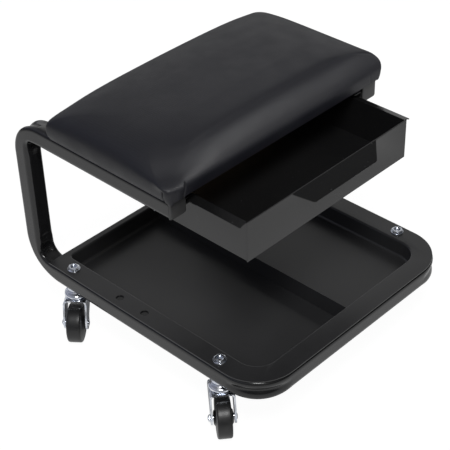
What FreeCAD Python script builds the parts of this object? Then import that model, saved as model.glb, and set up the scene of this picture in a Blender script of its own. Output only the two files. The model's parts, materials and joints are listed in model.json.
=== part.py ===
import FreeCAD, Part
import math
import os

import Sketcher

# Mechanic stool: a bent square tube on four swivel casters carries a tool tray, a padded seat and a drawer.
# Lengths are millimetres. X runs across the stool, Y from its front to its back, Z up from the floor.
# The drawer stands part open and the left casters trail to the left and front, as photographed.

os.makedirs("parts", exist_ok=True)
doc = FreeCAD.newDocument("mechanic_stool")

SHEET = {
    # frame tube
    "frame_width": 350,
    "frame_depth": 396,
    "tube": 25,
    "tube_corner": 4,
    "tube_wall": 1.5,
    "rail_bottom": 69.6,
    "arm_top": 294,
    "arm_length": 269,
    "low_bend_outer": 58,
    "low_bend_inner": 15,
    "top_bend_outer": 50,
    "top_bend_inner": 12,
    "front_bend_outer": 54,
    "front_bend_inner": 29,
    "cap_face": 2,
    "cap_plug": 12,
    "plug_fit": 0.2,
    "overrun": 5,
    # tray
    "tray_sheet": 1.5,
    "tray_setback": 41,
    "tray_depth": 23,
    "tray_gap": 0.3,
    "tray_rim": 7.7,
    "tray_hem": 8,
    "tray_back_corner": 8,
    "tray_mouth_round": 2.5,
    "tray_floor_round": 4,
    "flange_hole": 10,
    "flange_hole_middle": 19,
    "flange_hole_pitch": 42.6,
    "divider_sheet": 1.2,
    "divider_offset": 3,
    "divider_foot": 10,
    "divider_gap": 0.3,
    # seat
    "seat_overhang": 4.5,
    "seat_depth": 208,
    "seat_height": 45,
    "seat_round": 40,
    "seat_setback": 177,
    "cover_gauge": 1.2,
    "cover_gap": 0.3,
    "hem_width": 26,
    "board_gauge": 9,
    "board_inset": 9,
    "board_corner": 6,
    "board_gap": 0.3,
    "seat_bolt": 6,
    "seat_bolt_pitch": 120,
    "seat_bolt_across": 10,
    "seat_bolt_head": 4,
    "tee_barrel": 8.4,
    "tee_flange": 13,
    "tee_gauge": 1.2,
    "bolt_fit": 0.1,
    "hole_gap": 0.3,
    "staple_crown": 11,
    "staple_wire": 0.7,
    "staple_leg": 6,
    "staple_end": 31,
    "staple_setback": 17,
    # drawer and its runners
    "drawer_side_room": 14.5,
    "drawer_height": 51.6,
    "drawer_length": 205,
    "drawer_sheet": 1,
    "drawer_drop": 11,
    "drawer_reveal": 2,
    "drawer_open": 74,
    "drawer_travel": 120,
    "drawer_lip": 9.6,
    "drawer_lip_turn": 4.6,
    "front_sheet": 1.2,
    "front_overlap": 1.5,
    "pull_width": 147,
    "pull_reach": 22.5,
    "pull_inset": 20,
    "pull_corner": 6,
    "pull_offset": 7.5,
    "pull_angle": 36,
    "runner_sheet": 1.2,
    "runner_setback": 2,
    "runner_side_gap": 1.6,
    "slide_gap": 0.3,
    "slide_headroom": 1,
    "stop_length": 6,
    "stop_reach": 1.9,
    "stop_height": 3,
    "tab_length": 3,
    "tab_reach": 3.2,
    "stop_gap": 0.3,
    "rivet": 3,
    "rivet_head": 5.2,
    "rivet_head_height": 1.4,
    "rivet_grip": 4,
    "rivet_end": 20.65,
    # casters
    "wheel": 50,
    "tread_width": 17,
    "tread_round": 3.5,
    "hub_width": 23,
    "hub": 16,
    "hub_round": 12,
    "wheel_face_width": 19.5,
    "wheel_face": 34,
    "axle": 5,
    "axle_across": 8,
    "axle_head": 1.6,
    "axle_nut_height": 2.6,
    "axle_end": 0.5,
    "sleeve": 8,
    "running_fit": 0.1,
    "trail": 18,
    "fork_sheet": 2.2,
    "fork_inside": 25.4,
    "fork_crown_bottom": 53.9,
    "fork_crown_width": 33,
    "fork_crown_front": 15,
    "fork_crown_back": 16,
    "fork_crown_corner": 11,
    "fork_leg_front": 12,
    "fork_leg_back": 20,
    "fork_leg_drop": 9,
    "fork_eye": 16,
    "fork_eye_round": 7,
    "stem": 8,
    "stem_recess": 0.8,
    "kingpin": 14,
    "kingpin_height": 2.2,
    "swivel_gap": 0.3,
    "cup": 32.4,
    "cup_sheet": 1.4,
    "cup_rim_lift": 0.9,
    "cup_side": 3.2,
    "collar": 18,
    "collar_height": 2.6,
    "ball": 4.4,
    "ball_circle": 23,
    "caster_setback": 72.5,
    "caster_back_setback": 73.9,
    "front_left_yaw": 140,
    "front_right_yaw": 320,
    "back_left_yaw": 128.5,
    "back_right_yaw": 308.5,
    "nut_across": 13,
    "nut_height": 2.3,
    "nut_ring": 11.4,
    "nut_ring_height": 0.6,
    "washer": 16,
    "washer_gauge": 1.2,
}

BALL_COUNT = 9
RIVET_COUNT = 3
STAPLE_COUNT = 8
FULL_TURN = 360
QUARTER_TURN = 90
TOUCH = 1e-4  # heights and ends closer than this are the same

# Cushion sections from the hem to the crown: height, inset from the widest line and corner radius,
# as shares of seat_height and seat_round.
CUSHION_SHARES = (
    (0.000, 0.075, 0.240),
    (0.130, 0.015, 0.260),
    (0.310, 0.000, 0.310),
    (0.490, 0.038, 0.380),
    (0.645, 0.125, 0.480),
    (0.780, 0.275, 0.630),
    (0.880, 0.525, 0.830),
    (0.960, 1.000, 1.100),
    (1.000, 1.750, 0.800),
)

sheet = doc.addObject("Spreadsheet::Sheet", "dims")
for row, (alias, number) in enumerate(SHEET.items(), start=1):
    sheet.set(f"A{row}", alias)
    sheet.set(f"B{row}", str(number))
    sheet.setAlias(f"B{row}", alias)
doc.recompute()


class Size:
    """A length worked out from the sheet: its number now, and the expression that keeps it driven."""

    def __init__(self, number, text):
        self.number = number
        self.text = text

    def _join(self, sign, other, number):
        return Size(number, f"({self.text} {sign} {other.text})")

    def __add__(self, other):
        other = as_size(other)
        return self._join("+", other, self.number + other.number)

    def __sub__(self, other):
        other = as_size(other)
        return self._join("-", other, self.number - other.number)

    def __mul__(self, other):
        other = as_size(other)
        return self._join("*", other, self.number * other.number)

    def __truediv__(self, other):
        other = as_size(other)
        return self._join("/", other, self.number / other.number)

    def __neg__(self):
        return Size(-self.number, f"(0 - {self.text})")


class Dims:
    """The sheet's cells by alias."""

    def __getattr__(self, alias):
        return Size(float(SHEET[alias]), f"dims.{alias}")


def as_size(value):
    return value if isinstance(value, Size) else Size(float(value), f"{value}")


def bind(item, **sizes):
    """Drive properties of an object, such as Length, from sizes."""
    for prop, size in sizes.items():
        item.setExpression(prop, as_size(size).text)


def place(item, x=0, y=0, z=0, angle=0, axis=(0, 0, 1)):
    """Set a placement whose base, and angle about the axis, follow the sheet."""
    x, y, z, angle = (as_size(value) for value in (x, y, z, angle))
    turn = FreeCAD.Rotation(FreeCAD.Vector(*axis), angle.number)
    item.Placement = FreeCAD.Placement(FreeCAD.Vector(x.number, y.number, z.number), turn)
    for letter, size in zip("xyz", (x, y, z)):
        item.setExpression(f"Placement.Base.{letter}", size.text)
    if angle.number:
        item.setExpression("Placement.Rotation.Angle", angle.text)
    return item


# Sketches and features


def new_body(name):
    return doc.addObject("PartDesign::Body", name)


def new_sketch(body, name, plane, lift=0):
    """A sketch on one of the body's origin planes, lifted along that plane's normal."""
    sketch = body.newObject("Sketcher::SketchObject", name)
    support = next(item for item in body.Origin.OriginFeatures if item.Role == plane)
    sketch.AttachmentSupport = [(support, "")]
    sketch.MapMode = "FlatFace"
    sketch.setExpression("AttachmentOffset.Base.z", as_size(lift).text)
    return sketch


def hold_point(sketch, geometry, end, x, y):
    """Fix a point of the sketch at driven coordinates."""
    for kind, axis, size in (("DistanceX", -2, as_size(x)), ("DistanceY", -1, as_size(y))):
        if size.text == "0":
            sketch.addConstraint(Sketcher.Constraint("PointOnObject", geometry, end, axis))
            continue
        index = sketch.addConstraint(Sketcher.Constraint(kind, -1, 1, geometry, end, size.number))
        sketch.setExpression(f"Constraints[{index}]", size.text)


def draw_circle(sketch, x, y, diameter):
    centre = FreeCAD.Vector(as_size(x).number, as_size(y).number, 0)
    circle = Part.Circle(centre, FreeCAD.Vector(0, 0, 1), diameter.number / 2)
    geometry = sketch.addGeometry(circle, False)
    hold_point(sketch, geometry, 3, x, y)
    index = sketch.addConstraint(Sketcher.Constraint("Diameter", geometry, diameter.number))
    sketch.setExpression(f"Constraints[{index}]", diameter.text)


def draw_outline(sketch, corners):
    """A closed outline through corners (x, y) or, where rounded, (x, y, radius)."""
    spots = [FreeCAD.Vector(as_size(x).number, as_size(y).number, 0) for x, y, *_ in corners]
    rounds = [corner[2] if len(corner) > 2 else None for corner in corners]
    count = len(corners)
    ways = [(spots[(i + 1) % count] - spots[i]).normalize() for i in range(count)]
    entries, exits, arcs = list(spots), list(spots), {}
    for i in range(count):
        if rounds[i] is None:
            continue
        back, ahead, radius = -ways[i - 1], ways[i], rounds[i].number
        half = back.getAngle(ahead) / 2
        entries[i] = spots[i] + back * (radius / math.tan(half))
        exits[i] = spots[i] + ahead * (radius / math.tan(half))
        centre = spots[i] + (back + ahead).normalize() * (radius / math.sin(half))
        left_turn = ways[i - 1].cross(ways[i]).z > 0
        first, last = (entries[i], exits[i]) if left_turn else (exits[i], entries[i])
        angles = [math.atan2(spot.y - centre.y, spot.x - centre.x) for spot in (first, last)]
        circle = Part.Circle(centre, FreeCAD.Vector(0, 0, 1), radius)
        arc = sketch.addGeometry(Part.ArcOfCircle(circle, *angles), False)
        arcs[i] = (arc, 1, 2) if left_turn else (arc, 2, 1)
    lines = [
        sketch.addGeometry(Part.LineSegment(exits[i], entries[(i + 1) % count]), False)
        for i in range(count)
    ]
    for i, (x, y, *_) in enumerate(corners):
        before, after = lines[i - 1], lines[i]
        if i not in arcs:
            sketch.addConstraint(Sketcher.Constraint("Coincident", before, 2, after, 1))
            hold_point(sketch, after, 1, x, y)
            continue
        arc, entry, leave = arcs[i]
        point = sketch.addGeometry(Part.Point(spots[i]), True)
        sketch.addConstraint(Sketcher.Constraint("Tangent", before, 2, arc, entry))
        sketch.addConstraint(Sketcher.Constraint("Tangent", arc, leave, after, 1))
        sketch.addConstraint(Sketcher.Constraint("PointOnObject", point, 1, before))
        sketch.addConstraint(Sketcher.Constraint("PointOnObject", point, 1, after))
        hold_point(sketch, point, 1, x, y)
        index = sketch.addConstraint(Sketcher.Constraint("Radius", arc, rounds[i].number))
        sketch.setExpression(f"Constraints[{index}]", rounds[i].text)


def extrude(body, name, plane, lift, length, corners=(), holes=(), kind="Pad", reverse=False):
    """A pad or pocket of one outline, or of round holes (x, y, diameter)."""
    sketch = new_sketch(body, f"{name}_sketch", plane, lift)
    if corners:
        draw_outline(sketch, corners)
    for hole in holes:
        draw_circle(sketch, *hole)
    feature = body.newObject(f"PartDesign::{kind}", name)
    feature.Profile = sketch
    feature.Reversed = reverse
    bind(feature, Length=length)
    doc.recompute()
    return feature


def revolve(body, name, corners, axis):
    """A full turn of an outline in the XZ plane about its vertical axis, or in XY about X."""
    sketch = new_sketch(body, f"{name}_sketch", "XZ_Plane" if axis == "V_Axis" else "XY_Plane")
    draw_outline(sketch, corners)
    feature = body.newObject("PartDesign::Revolution", name)
    feature.Profile = sketch
    feature.ReferenceAxis = (sketch, [axis])
    feature.Angle = FULL_TURN
    doc.recompute()
    return feature


def round_edges(body, name, feature, radius, wanted):
    """Fillet the feature's edges that the test wants, given each edge's bounding box."""
    edges = feature.Shape.Edges
    names = [f"Edge{i}" for i, edge in enumerate(edges, start=1) if wanted(edge.BoundBox)]
    fillet = body.newObject("PartDesign::Fillet", name)
    fillet.Base = (feature, names)
    bind(fillet, Radius=radius)
    doc.recompute()
    return fillet


def near(one, other):
    return math.isclose(one, as_size(other).number, abs_tol=TOUCH)


def cylinder(name, diameter, height, x=0, y=0, z=0, along="z"):
    """A round bar from a centre of one end, along +Z or +X."""
    item = doc.addObject("Part::Cylinder", name)
    bind(item, Radius=diameter / 2, Height=height)
    if along == "x":
        return place(item, x, y, z, QUARTER_TURN, (0, 1, 0))
    return place(item, x, y, z)


def hexagon(name, across, height, x=0, y=0, z=0, along="z"):
    """A six-sided bar by its width across the flats."""
    item = doc.addObject("Part::Prism", name)
    item.Polygon = 6
    bind(item, Circumradius=across / math.sqrt(3), Height=height)
    if along == "x":
        return place(item, x, y, z, QUARTER_TURN, (0, 1, 0))
    return place(item, x, y, z)


def box(name, x, y, z, length, width, height):
    item = doc.addObject("Part::Box", name)
    bind(item, Length=length, Width=width, Height=height)
    return place(item, x, y, z)


def fuse(name, items):
    item = doc.addObject("Part::MultiFuse", name)
    item.Shapes = items
    return item


def cut(name, base, tool):
    item = doc.addObject("Part::Cut", name)
    item.Base = base
    item.Tool = tool
    return item


def mirror(name, source):
    """The same piece on the other side of the stool."""
    item = doc.addObject("Part::Mirroring", name)
    item.Source = source
    item.Normal = FreeCAD.Vector(1, 0, 0)
    return item


def group(name, items):
    item = doc.addObject("Part::Compound", name)
    item.Links = items
    return item


# Places that several pieces share

d = Dims()
half_width = d.frame_width / 2
half_depth = d.frame_depth / 2
front = -half_depth
rail_top = d.rail_bottom + d.tube
flange_top = rail_top + d.tray_sheet
floor_top = flange_top - d.tray_depth
arm_bottom = d.arm_top - d.tube
arm_front = half_depth - d.arm_length
arm_inside = half_width - d.tube
tube_middle = half_width - d.tube / 2
tray_back = half_depth - d.tray_setback
basin_half = arm_inside - d.tray_gap
basin_front = front + d.tube + d.tray_gap
basin_back = tray_back - d.tray_rim
caster_front = front + d.caster_setback
caster_back = half_depth - d.caster_back_setback
seat_half = half_width + d.seat_overhang
seat_middle = half_depth - d.seat_setback
board_bottom = d.arm_top + d.cover_gauge
board_top = board_bottom + d.board_gauge
drawer_half = arm_inside - d.drawer_side_room
drawer_top = d.arm_top - d.drawer_drop
drawer_bottom = drawer_top - d.drawer_height
drawer_closed = arm_front - d.drawer_reveal
drawer_face = drawer_closed - d.drawer_open
drawer_back = drawer_face + d.drawer_length
lip_bottom = drawer_top - d.drawer_lip_turn
lip_outside = drawer_half + d.drawer_lip
channel_bottom = lip_bottom - d.slide_gap
channel_top = drawer_top + d.slide_headroom
channel_middle = (channel_bottom + channel_top) / 2
channel_back = arm_inside - d.runner_sheet
runner_front = arm_front + d.runner_setback
runner_back = drawer_closed + d.drawer_length + d.stop_gap
corners_of_stool = {
    "front_left": (-tube_middle, caster_front),
    "front_right": (tube_middle, caster_front),
    "back_left": (-tube_middle, caster_back),
    "back_right": (tube_middle, caster_back),
}
seat_bolt_spots = [
    (x, seat_middle + d.seat_bolt_pitch * share)
    for x in (-tube_middle, tube_middle)
    for share in (-0.5, 0.5)
]
rivet_run = runner_back - runner_front - d.rivet_end * 2
rivet_rows = [
    runner_front + d.rivet_end + rivet_run * (i / (RIVET_COUNT - 1))
    for i in range(RIVET_COUNT)
]


# Frame


def tube_side(name, inset, front_end):
    """The left side of the bent tube: rail, upright and arm, inset for the hollow."""
    body = new_body(name)
    low, high, back = d.rail_bottom + inset, d.arm_top - inset, half_depth - inset
    inner_low, inner_high = rail_top - inset, arm_bottom + inset
    inner_back = half_depth - d.tube + inset
    corners = (
        (0, low),
        (back, low, d.low_bend_outer - inset),
        (back, high, d.top_bend_outer - inset),
        (front_end, high),
        (front_end, inner_high),
        (inner_back, inner_high, d.top_bend_inner + inset),
        (inner_back, inner_low, d.low_bend_inner + inset),
        (0, inner_low),
    )
    pad = extrude(body, f"{name}_pad", "YZ_Plane", inset - half_width, d.tube - inset * 2, corners)

    def along_tube(bounds):
        at_end = bounds.YLength < TOUCH and (near(bounds.YMin, 0) or near(bounds.YMin, front_end))
        return bounds.XLength < TOUCH and not at_end

    round_edges(body, f"{name}_round", pad, d.tube_corner - inset, along_tube)
    return body


def tube_loop(name, inset):
    """The front of the lower loop, up to the middle of both rails."""
    body = new_body(name)
    wide, ahead = half_width - inset, front + inset
    narrow, behind = arm_inside + inset, front + d.tube - inset
    outer, inner = d.front_bend_outer - inset, d.front_bend_inner + inset
    corners = (
        (-wide, 0),
        (-wide, ahead, outer),
        (wide, ahead, outer),
        (wide, 0),
        (narrow, 0),
        (narrow, behind, inner),
        (-narrow, behind, inner),
        (-narrow, 0),
    )
    pad = extrude(body, f"{name}_pad", "XY_Plane", d.rail_bottom + inset, d.tube - inset * 2, corners)

    def along_tube(bounds):
        at_end = bounds.YLength < TOUCH and near(bounds.YMin, 0)
        return bounds.ZLength < TOUCH and not at_end

    round_edges(body, f"{name}_round", pad, d.tube_corner - inset, along_tube)
    return body


def bent_tube(name, inset, front_end):
    side = tube_side(f"{name}_side", inset, front_end)
    loop = tube_loop(f"{name}_loop", inset)
    return fuse(name, [side, mirror(f"{name}_other_side", side), loop])


def frame_tube():
    skin = bent_tube("tube_skin", as_size(0), arm_front + d.cap_face)
    hollow = bent_tube("tube_hollow", d.tube_wall, arm_front - d.overrun)
    drills = []
    for corner, (x, y) in corners_of_stool.items():
        drills.append(cylinder(f"stem_drill_{corner}", d.stem + d.hole_gap * 2, d.tube + d.overrun * 2,
                               x, y, d.rail_bottom - d.overrun))
    for i, (x, y) in enumerate(seat_bolt_spots):
        drills.append(cylinder(f"seat_drill_{i}", d.seat_bolt + d.hole_gap * 2, d.tube + d.overrun * 2,
                               x, y, arm_bottom - d.overrun))
    for i, y in enumerate(rivet_rows):
        drills.append(cylinder(f"rivet_drill_{i}", d.rivet + d.hole_gap * 2,
                               arm_inside * 2 + d.tube_wall * 2 + d.overrun,
                               -arm_inside - d.tube_wall - d.overrun / 2, y, channel_middle, "x"))
    return cut("frame_tube", cut("tube_walls", skin, hollow), fuse("frame_drills", drills))


def square_corners(x, z, half, radius):
    return ((x - half, z - half, radius), (x + half, z - half, radius),
            (x + half, z + half, radius), (x - half, z + half, radius))


def arm_cap():
    """A plate on the arm's front end, with a plug inside the tube."""
    body = new_body("arm_cap_left")
    seat = arm_front + d.cap_face
    middle = d.arm_top - d.tube / 2
    plug_half = d.tube / 2 - d.tube_wall - d.plug_fit
    plug_round = d.tube_corner - d.tube_wall
    extrude(body, "cap_plate", "XZ_Plane", -seat, d.cap_face,
            square_corners(-tube_middle, middle, d.tube / 2, d.tube_corner))
    extrude(body, "cap_plug_pad", "XZ_Plane", -seat, d.cap_plug,
            square_corners(-tube_middle, middle, plug_half, plug_round), reverse=True)
    return body


# Tray


def tray():
    body = new_body("tray")
    basin_round = d.front_bend_inner - d.tray_gap
    extrude(body, "tray_flange", "XY_Plane", rail_top, d.tray_sheet, (
        (-half_width, tray_back),
        (-half_width, front, d.front_bend_outer),
        (half_width, front, d.front_bend_outer),
        (half_width, tray_back),
    ))
    extrude(body, "tray_basin", "XY_Plane", floor_top - d.tray_sheet, d.tray_depth, (
        (-basin_half, basin_back, d.tray_back_corner),
        (-basin_half, basin_front, basin_round),
        (basin_half, basin_front, basin_round),
        (basin_half, basin_back, d.tray_back_corner),
    ))
    inside = basin_half - d.tray_sheet
    inside_front, inside_back = basin_front + d.tray_sheet, basin_back - d.tray_sheet
    inside_round, inside_corner = basin_round - d.tray_sheet, d.tray_back_corner - d.tray_sheet
    recess = extrude(body, "tray_recess", "XY_Plane", flange_top, d.tray_depth, (
        (-inside, inside_back, inside_corner),
        (-inside, inside_front, inside_round),
        (inside, inside_front, inside_round),
        (inside, inside_back, inside_corner),
    ), kind="Pocket")

    def level(height):
        def wanted(bounds):
            inner = bounds.XMax <= inside.number + TOUCH and bounds.XMin >= -inside.number - TOUCH
            inner = inner and bounds.YMin >= inside_front.number - TOUCH
            inner = inner and bounds.YMax <= inside_back.number + TOUCH
            return inner and bounds.ZLength < TOUCH and near(bounds.ZMin, height)
        return wanted

    mouth = round_edges(body, "tray_mouth", recess, d.tray_mouth_round, level(flange_top))
    round_edges(body, "tray_floor", mouth, d.tray_floor_round, level(floor_top))
    extrude(body, "tray_hem_pad", "XY_Plane", rail_top - d.tray_hem, d.tray_hem, (
        (-basin_half, tray_back - d.tray_sheet),
        (basin_half, tray_back - d.tray_sheet),
        (basin_half, tray_back),
        (-basin_half, tray_back),
    ))
    stem_holes = [(x, y, d.stem + d.hole_gap * 2) for x, y in corners_of_stool.values()]
    flange_holes = [
        (x, d.flange_hole_middle + d.flange_hole_pitch * share, d.flange_hole)
        for x in (-tube_middle, tube_middle)
        for share in (-0.5, 0.5)
    ]
    extrude(body, "tray_holes", "XY_Plane", flange_top, d.tray_sheet,
            holes=stem_holes + flange_holes, kind="Pocket")
    return body


def tray_divider():
    """An upright strip with a foot, clear of the recess's rounded floor."""
    body = new_body("tray_divider")
    ahead = basin_front + d.tray_sheet + d.divider_gap
    behind = basin_back - d.tray_sheet - d.divider_gap
    foot_ahead, foot_behind = ahead + d.tray_floor_round, behind - d.tray_floor_round
    extrude(body, "divider_web", "YZ_Plane", d.divider_offset, d.divider_sheet, (
        (foot_ahead, floor_top),
        (foot_behind, floor_top),
        (behind, floor_top + d.tray_floor_round),
        (behind, flange_top),
        (ahead, flange_top),
        (ahead, floor_top + d.tray_floor_round),
    ))
    extrude(body, "divider_foot_pad", "YZ_Plane", d.divider_offset, d.divider_foot, (
        (foot_ahead, floor_top),
        (foot_behind, floor_top),
        (foot_behind, floor_top + d.divider_sheet),
        (foot_ahead, floor_top + d.divider_sheet),
    ))
    return body


# Seat


def rectangle(half_x, low_y, high_y, radius=None):
    corners = [(-half_x, low_y), (half_x, low_y), (half_x, high_y), (-half_x, high_y)]
    return [corner + (radius,) for corner in corners] if radius else corners


def cushion_form(name, inset):
    """The crowned cushion with drawn-in sides, made smaller all round by the inset."""
    body = new_body(name)
    half_x, half_y = seat_half - inset, d.seat_depth / 2 - inset
    bottom, rise = d.arm_top + inset, d.seat_height - inset * 2
    sketches = []
    for i, (height_share, inset_share, round_share) in enumerate(CUSHION_SHARES):
        section = new_sketch(body, f"{name}_section_{i}", "XY_Plane", bottom + rise * height_share)
        pulled = d.seat_round * inset_share
        draw_outline(section, rectangle(half_x - pulled, seat_middle - half_y + pulled,
                                        seat_middle + half_y - pulled, d.seat_round * round_share - inset))
        sketches.append(section)
    loft = body.newObject("PartDesign::AdditiveLoft", f"{name}_loft")
    loft.Profile = sketches[0]
    loft.Sections = sketches[1:]
    doc.recompute()
    return body


def board_block(name, gap, bottom, height):
    """The seat board's outline, larger all round by the gap."""
    body = new_body(name)
    half_x = seat_half - d.board_inset + gap
    half_y = d.seat_depth / 2 - d.board_inset + gap
    extrude(body, f"{name}_pad", "XY_Plane", bottom, height,
            rectangle(half_x, seat_middle - half_y, seat_middle + half_y, d.board_corner + gap))
    return body


def seat_cover():
    """The vinyl skin with its hem turned in under the board."""
    skin = cut("cover_skin", cushion_form("cover_outside", as_size(0)),
               cushion_form("cover_inside", d.cover_gauge))
    half_x, half_y = seat_half - d.hem_width, d.seat_depth / 2 - d.hem_width
    low, height = d.arm_top - d.overrun, d.cover_gauge + d.overrun * 2
    openings = [box("cover_window", -half_x, seat_middle - half_y, low, half_x * 2, half_y * 2, height)]
    for i, (x, y) in enumerate(seat_bolt_spots):
        openings.append(cylinder(f"hem_drill_{i}", d.seat_bolt + d.hole_gap * 2, height, x, y, low))
    return cut("seat_cover", skin, fuse("cover_openings", openings))


def seat_foam():
    block = cushion_form("foam_block", d.cover_gauge + d.cover_gap)
    rebate = board_block("foam_rebate", d.board_gap, d.arm_top - d.overrun,
                         d.cover_gauge + d.board_gauge + d.board_gap + d.overrun)
    return cut("seat_foam", block, rebate)


def seat_board():
    """The board, with a stepped hole for each tee nut."""
    plate = board_block("board_plate", as_size(0), board_bottom, d.board_gauge)
    drills = []
    for i, (x, y) in enumerate(seat_bolt_spots):
        drills.append(cylinder(f"tee_drill_{i}", d.tee_barrel + d.hole_gap * 2,
                               d.board_gauge + d.overrun * 2, x, y, board_bottom - d.overrun))
        drills.append(cylinder(f"tee_rebate_{i}", d.tee_flange + d.hole_gap * 2,
                               d.tee_gauge + d.overrun, x, y, board_top - d.tee_gauge))
    return cut("seat_board", plate, fuse("board_drills", drills))


def seat_fasteners():
    """Bolts up through the arms, and the tee nuts let into the board."""
    bolts, nuts = [], []
    for i, (x, y) in enumerate(seat_bolt_spots):
        head = hexagon(f"seat_bolt_head_{i}", d.seat_bolt_across, d.seat_bolt_head,
                       x, y, arm_bottom - d.seat_bolt_head)
        shank = cylinder(f"seat_bolt_shank_{i}", d.seat_bolt, board_top - d.tee_gauge - arm_bottom,
                         x, y, arm_bottom)
        bolts.append(fuse(f"seat_bolt_{i}", [head, shank]))
        barrel = cylinder(f"tee_barrel_{i}", d.tee_barrel, d.board_gauge, x, y, board_bottom)
        flange = cylinder(f"tee_flange_{i}", d.tee_flange, d.tee_gauge, x, y, board_top - d.tee_gauge)
        bore = cylinder(f"tee_bore_{i}", d.seat_bolt + d.bolt_fit * 2, d.board_gauge, x, y, board_bottom)
        nuts.append(cut(f"tee_nut_{i}", fuse(f"tee_blank_{i}", [barrel, flange]), bore))
    return group("seat_bolts", bolts), group("seat_tee_nuts", nuts)


def seat_staples():
    """Rows of staples that hold the hem to the board along its front and back."""
    row_offset = d.seat_depth / 2 - d.staple_setback
    first, run = d.staple_end - arm_inside, (arm_inside - d.staple_end) * 2
    staples = []
    for row, y in (("front", seat_middle - row_offset), ("back", seat_middle + row_offset)):
        for i in range(STAPLE_COUNT):
            x = first + run * (i / (STAPLE_COUNT - 1)) - d.staple_crown / 2
            name = f"staple_{row}_{i}"
            crown = box(f"{name}_crown", x, y, d.arm_top - d.staple_wire,
                        d.staple_crown, d.staple_wire, d.staple_wire)
            legs = [
                box(f"{name}_leg_{end}", leg_x, y, d.arm_top - d.staple_wire,
                    d.staple_wire, d.staple_wire, d.staple_wire + d.staple_leg)
                for end, leg_x in (("left", x), ("right", x + d.staple_crown - d.staple_wire))
            ]
            staples.append(fuse(name, [crown, *legs]))
    return group("seat_staples", staples)


# Drawer


def drawer_box():
    """A folded channel with lips along both sides, closed at the back."""
    body = new_body("drawer_box")
    gauge = d.drawer_sheet
    inside = drawer_half - gauge
    turn_inside = lip_outside - gauge
    right = [
        (drawer_half, drawer_bottom),
        (drawer_half, drawer_top - gauge),
        (turn_inside, drawer_top - gauge),
        (turn_inside, lip_bottom),
        (lip_outside, lip_bottom),
        (lip_outside, drawer_top),
        (inside, drawer_top),
        (inside, drawer_bottom + gauge),
    ]
    left = [(-x, z) for x, z in reversed(right)]
    length = d.drawer_length - d.front_sheet
    extrude(body, "drawer_channel", "XZ_Plane", -(drawer_face + d.front_sheet), length,
            right + left, reverse=True)
    extrude(body, "drawer_back_wall", "XZ_Plane", -drawer_back, gauge, (
        (-inside, drawer_bottom + gauge),
        (inside, drawer_bottom + gauge),
        (inside, drawer_top),
        (-inside, drawer_top),
    ))
    return body


def drawer_front():
    """The front panel with its pull flap bent out and down along the top edge."""
    panel = new_body("drawer_panel")
    half = drawer_half + d.front_overlap
    extrude(panel, "drawer_panel_pad", "XZ_Plane", -(drawer_face + d.front_sheet), d.front_sheet, (
        (-half, drawer_bottom), (half, drawer_bottom), (half, drawer_top), (-half, drawer_top),
    ))
    flap = new_body("pull_flap")
    wide, narrow = d.pull_width / 2, d.pull_width / 2 - d.pull_inset
    extrude(flap, "pull_flap_pad", "XY_Plane", 0, d.front_sheet, (
        (-wide, 0),
        (-narrow, -d.pull_reach, d.pull_corner),
        (narrow, -d.pull_reach, d.pull_corner),
        (wide, 0),
    ), reverse=True)
    place(flap, d.pull_offset, drawer_face + d.front_sheet, drawer_top, d.pull_angle, (1, 0, 0))
    return fuse("drawer_front", [panel, flap])


def drawer_stops():
    """A block on each lip's outer side, at the back of the drawer."""
    blocks = []
    for name, x in (("left", -lip_outside - d.stop_reach), ("right", lip_outside)):
        blocks.append(box(f"drawer_stop_{name}", x, drawer_back - d.stop_length,
                          drawer_top - d.stop_height, d.stop_reach, d.stop_length, d.stop_height))
    return group("drawer_stops", blocks)


def runner():
    """The left channel on the arm's inner side, with a tab for each end of the drawer's travel."""
    body = new_body("runner_blank")
    gauge = d.runner_sheet
    lip_end = drawer_half + d.runner_side_gap
    low, high = channel_bottom - gauge, channel_top + gauge
    length = runner_back + d.tab_length - runner_front
    extrude(body, "runner_channel", "XZ_Plane", -runner_front, length, (
        (-arm_inside, low),
        (-lip_end, low),
        (-lip_end, channel_bottom),
        (-channel_back, channel_bottom),
        (-channel_back, channel_top),
        (-lip_end, channel_top),
        (-lip_end, high),
        (-arm_inside, high),
    ), reverse=True)
    tab_end = channel_back - d.tab_reach
    tab_low = drawer_top - d.stop_height
    tab = ((-channel_back, tab_low), (-tab_end, tab_low), (-tab_end, channel_top),
           (-channel_back, channel_top))
    still_to_open = d.drawer_travel - d.drawer_open
    open_stop = drawer_back - d.stop_length - still_to_open - d.stop_gap
    extrude(body, "runner_open_tab", "XZ_Plane", -open_stop, d.tab_length, tab)
    extrude(body, "runner_closed_tab", "XZ_Plane", -runner_back, d.tab_length, tab, reverse=True)
    drills = [cylinder(f"runner_drill_{i}", d.rivet + d.hole_gap * 2, gauge + d.overrun * 2,
                       -arm_inside - d.overrun, y, channel_middle, "x")
              for i, y in enumerate(rivet_rows)]
    return cut("runner_left", body, fuse("runner_drills", drills))


def runner_rivets():
    rivets = []
    for i, y in enumerate(rivet_rows):
        shank = cylinder(f"rivet_shank_{i}", d.rivet, d.runner_sheet + d.rivet_grip,
                         -arm_inside - d.rivet_grip, y, channel_middle, "x")
        head = cylinder(f"rivet_head_{i}", d.rivet_head, d.rivet_head_height,
                        -channel_back, y, channel_middle, "x")
        rivet = fuse(f"rivet_left_{i}", [shank, head])
        rivets += [rivet, mirror(f"rivet_right_{i}", rivet)]
    return group("runner_rivets", rivets)


# Casters, each piece made once about its stem's axis and set out at the four corners

wheel_middle = d.wheel / 2
fork_outside = d.fork_inside / 2 + d.fork_sheet
crown_top = d.fork_crown_bottom + d.fork_sheet
ball_middle = crown_top + d.ball / 2
cup_ceiling = crown_top + d.ball + d.swivel_gap
washer_top = flange_top + d.washer_gauge
stem_top = washer_top + d.nut_height + d.nut_ring_height - d.stem_recess


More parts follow.
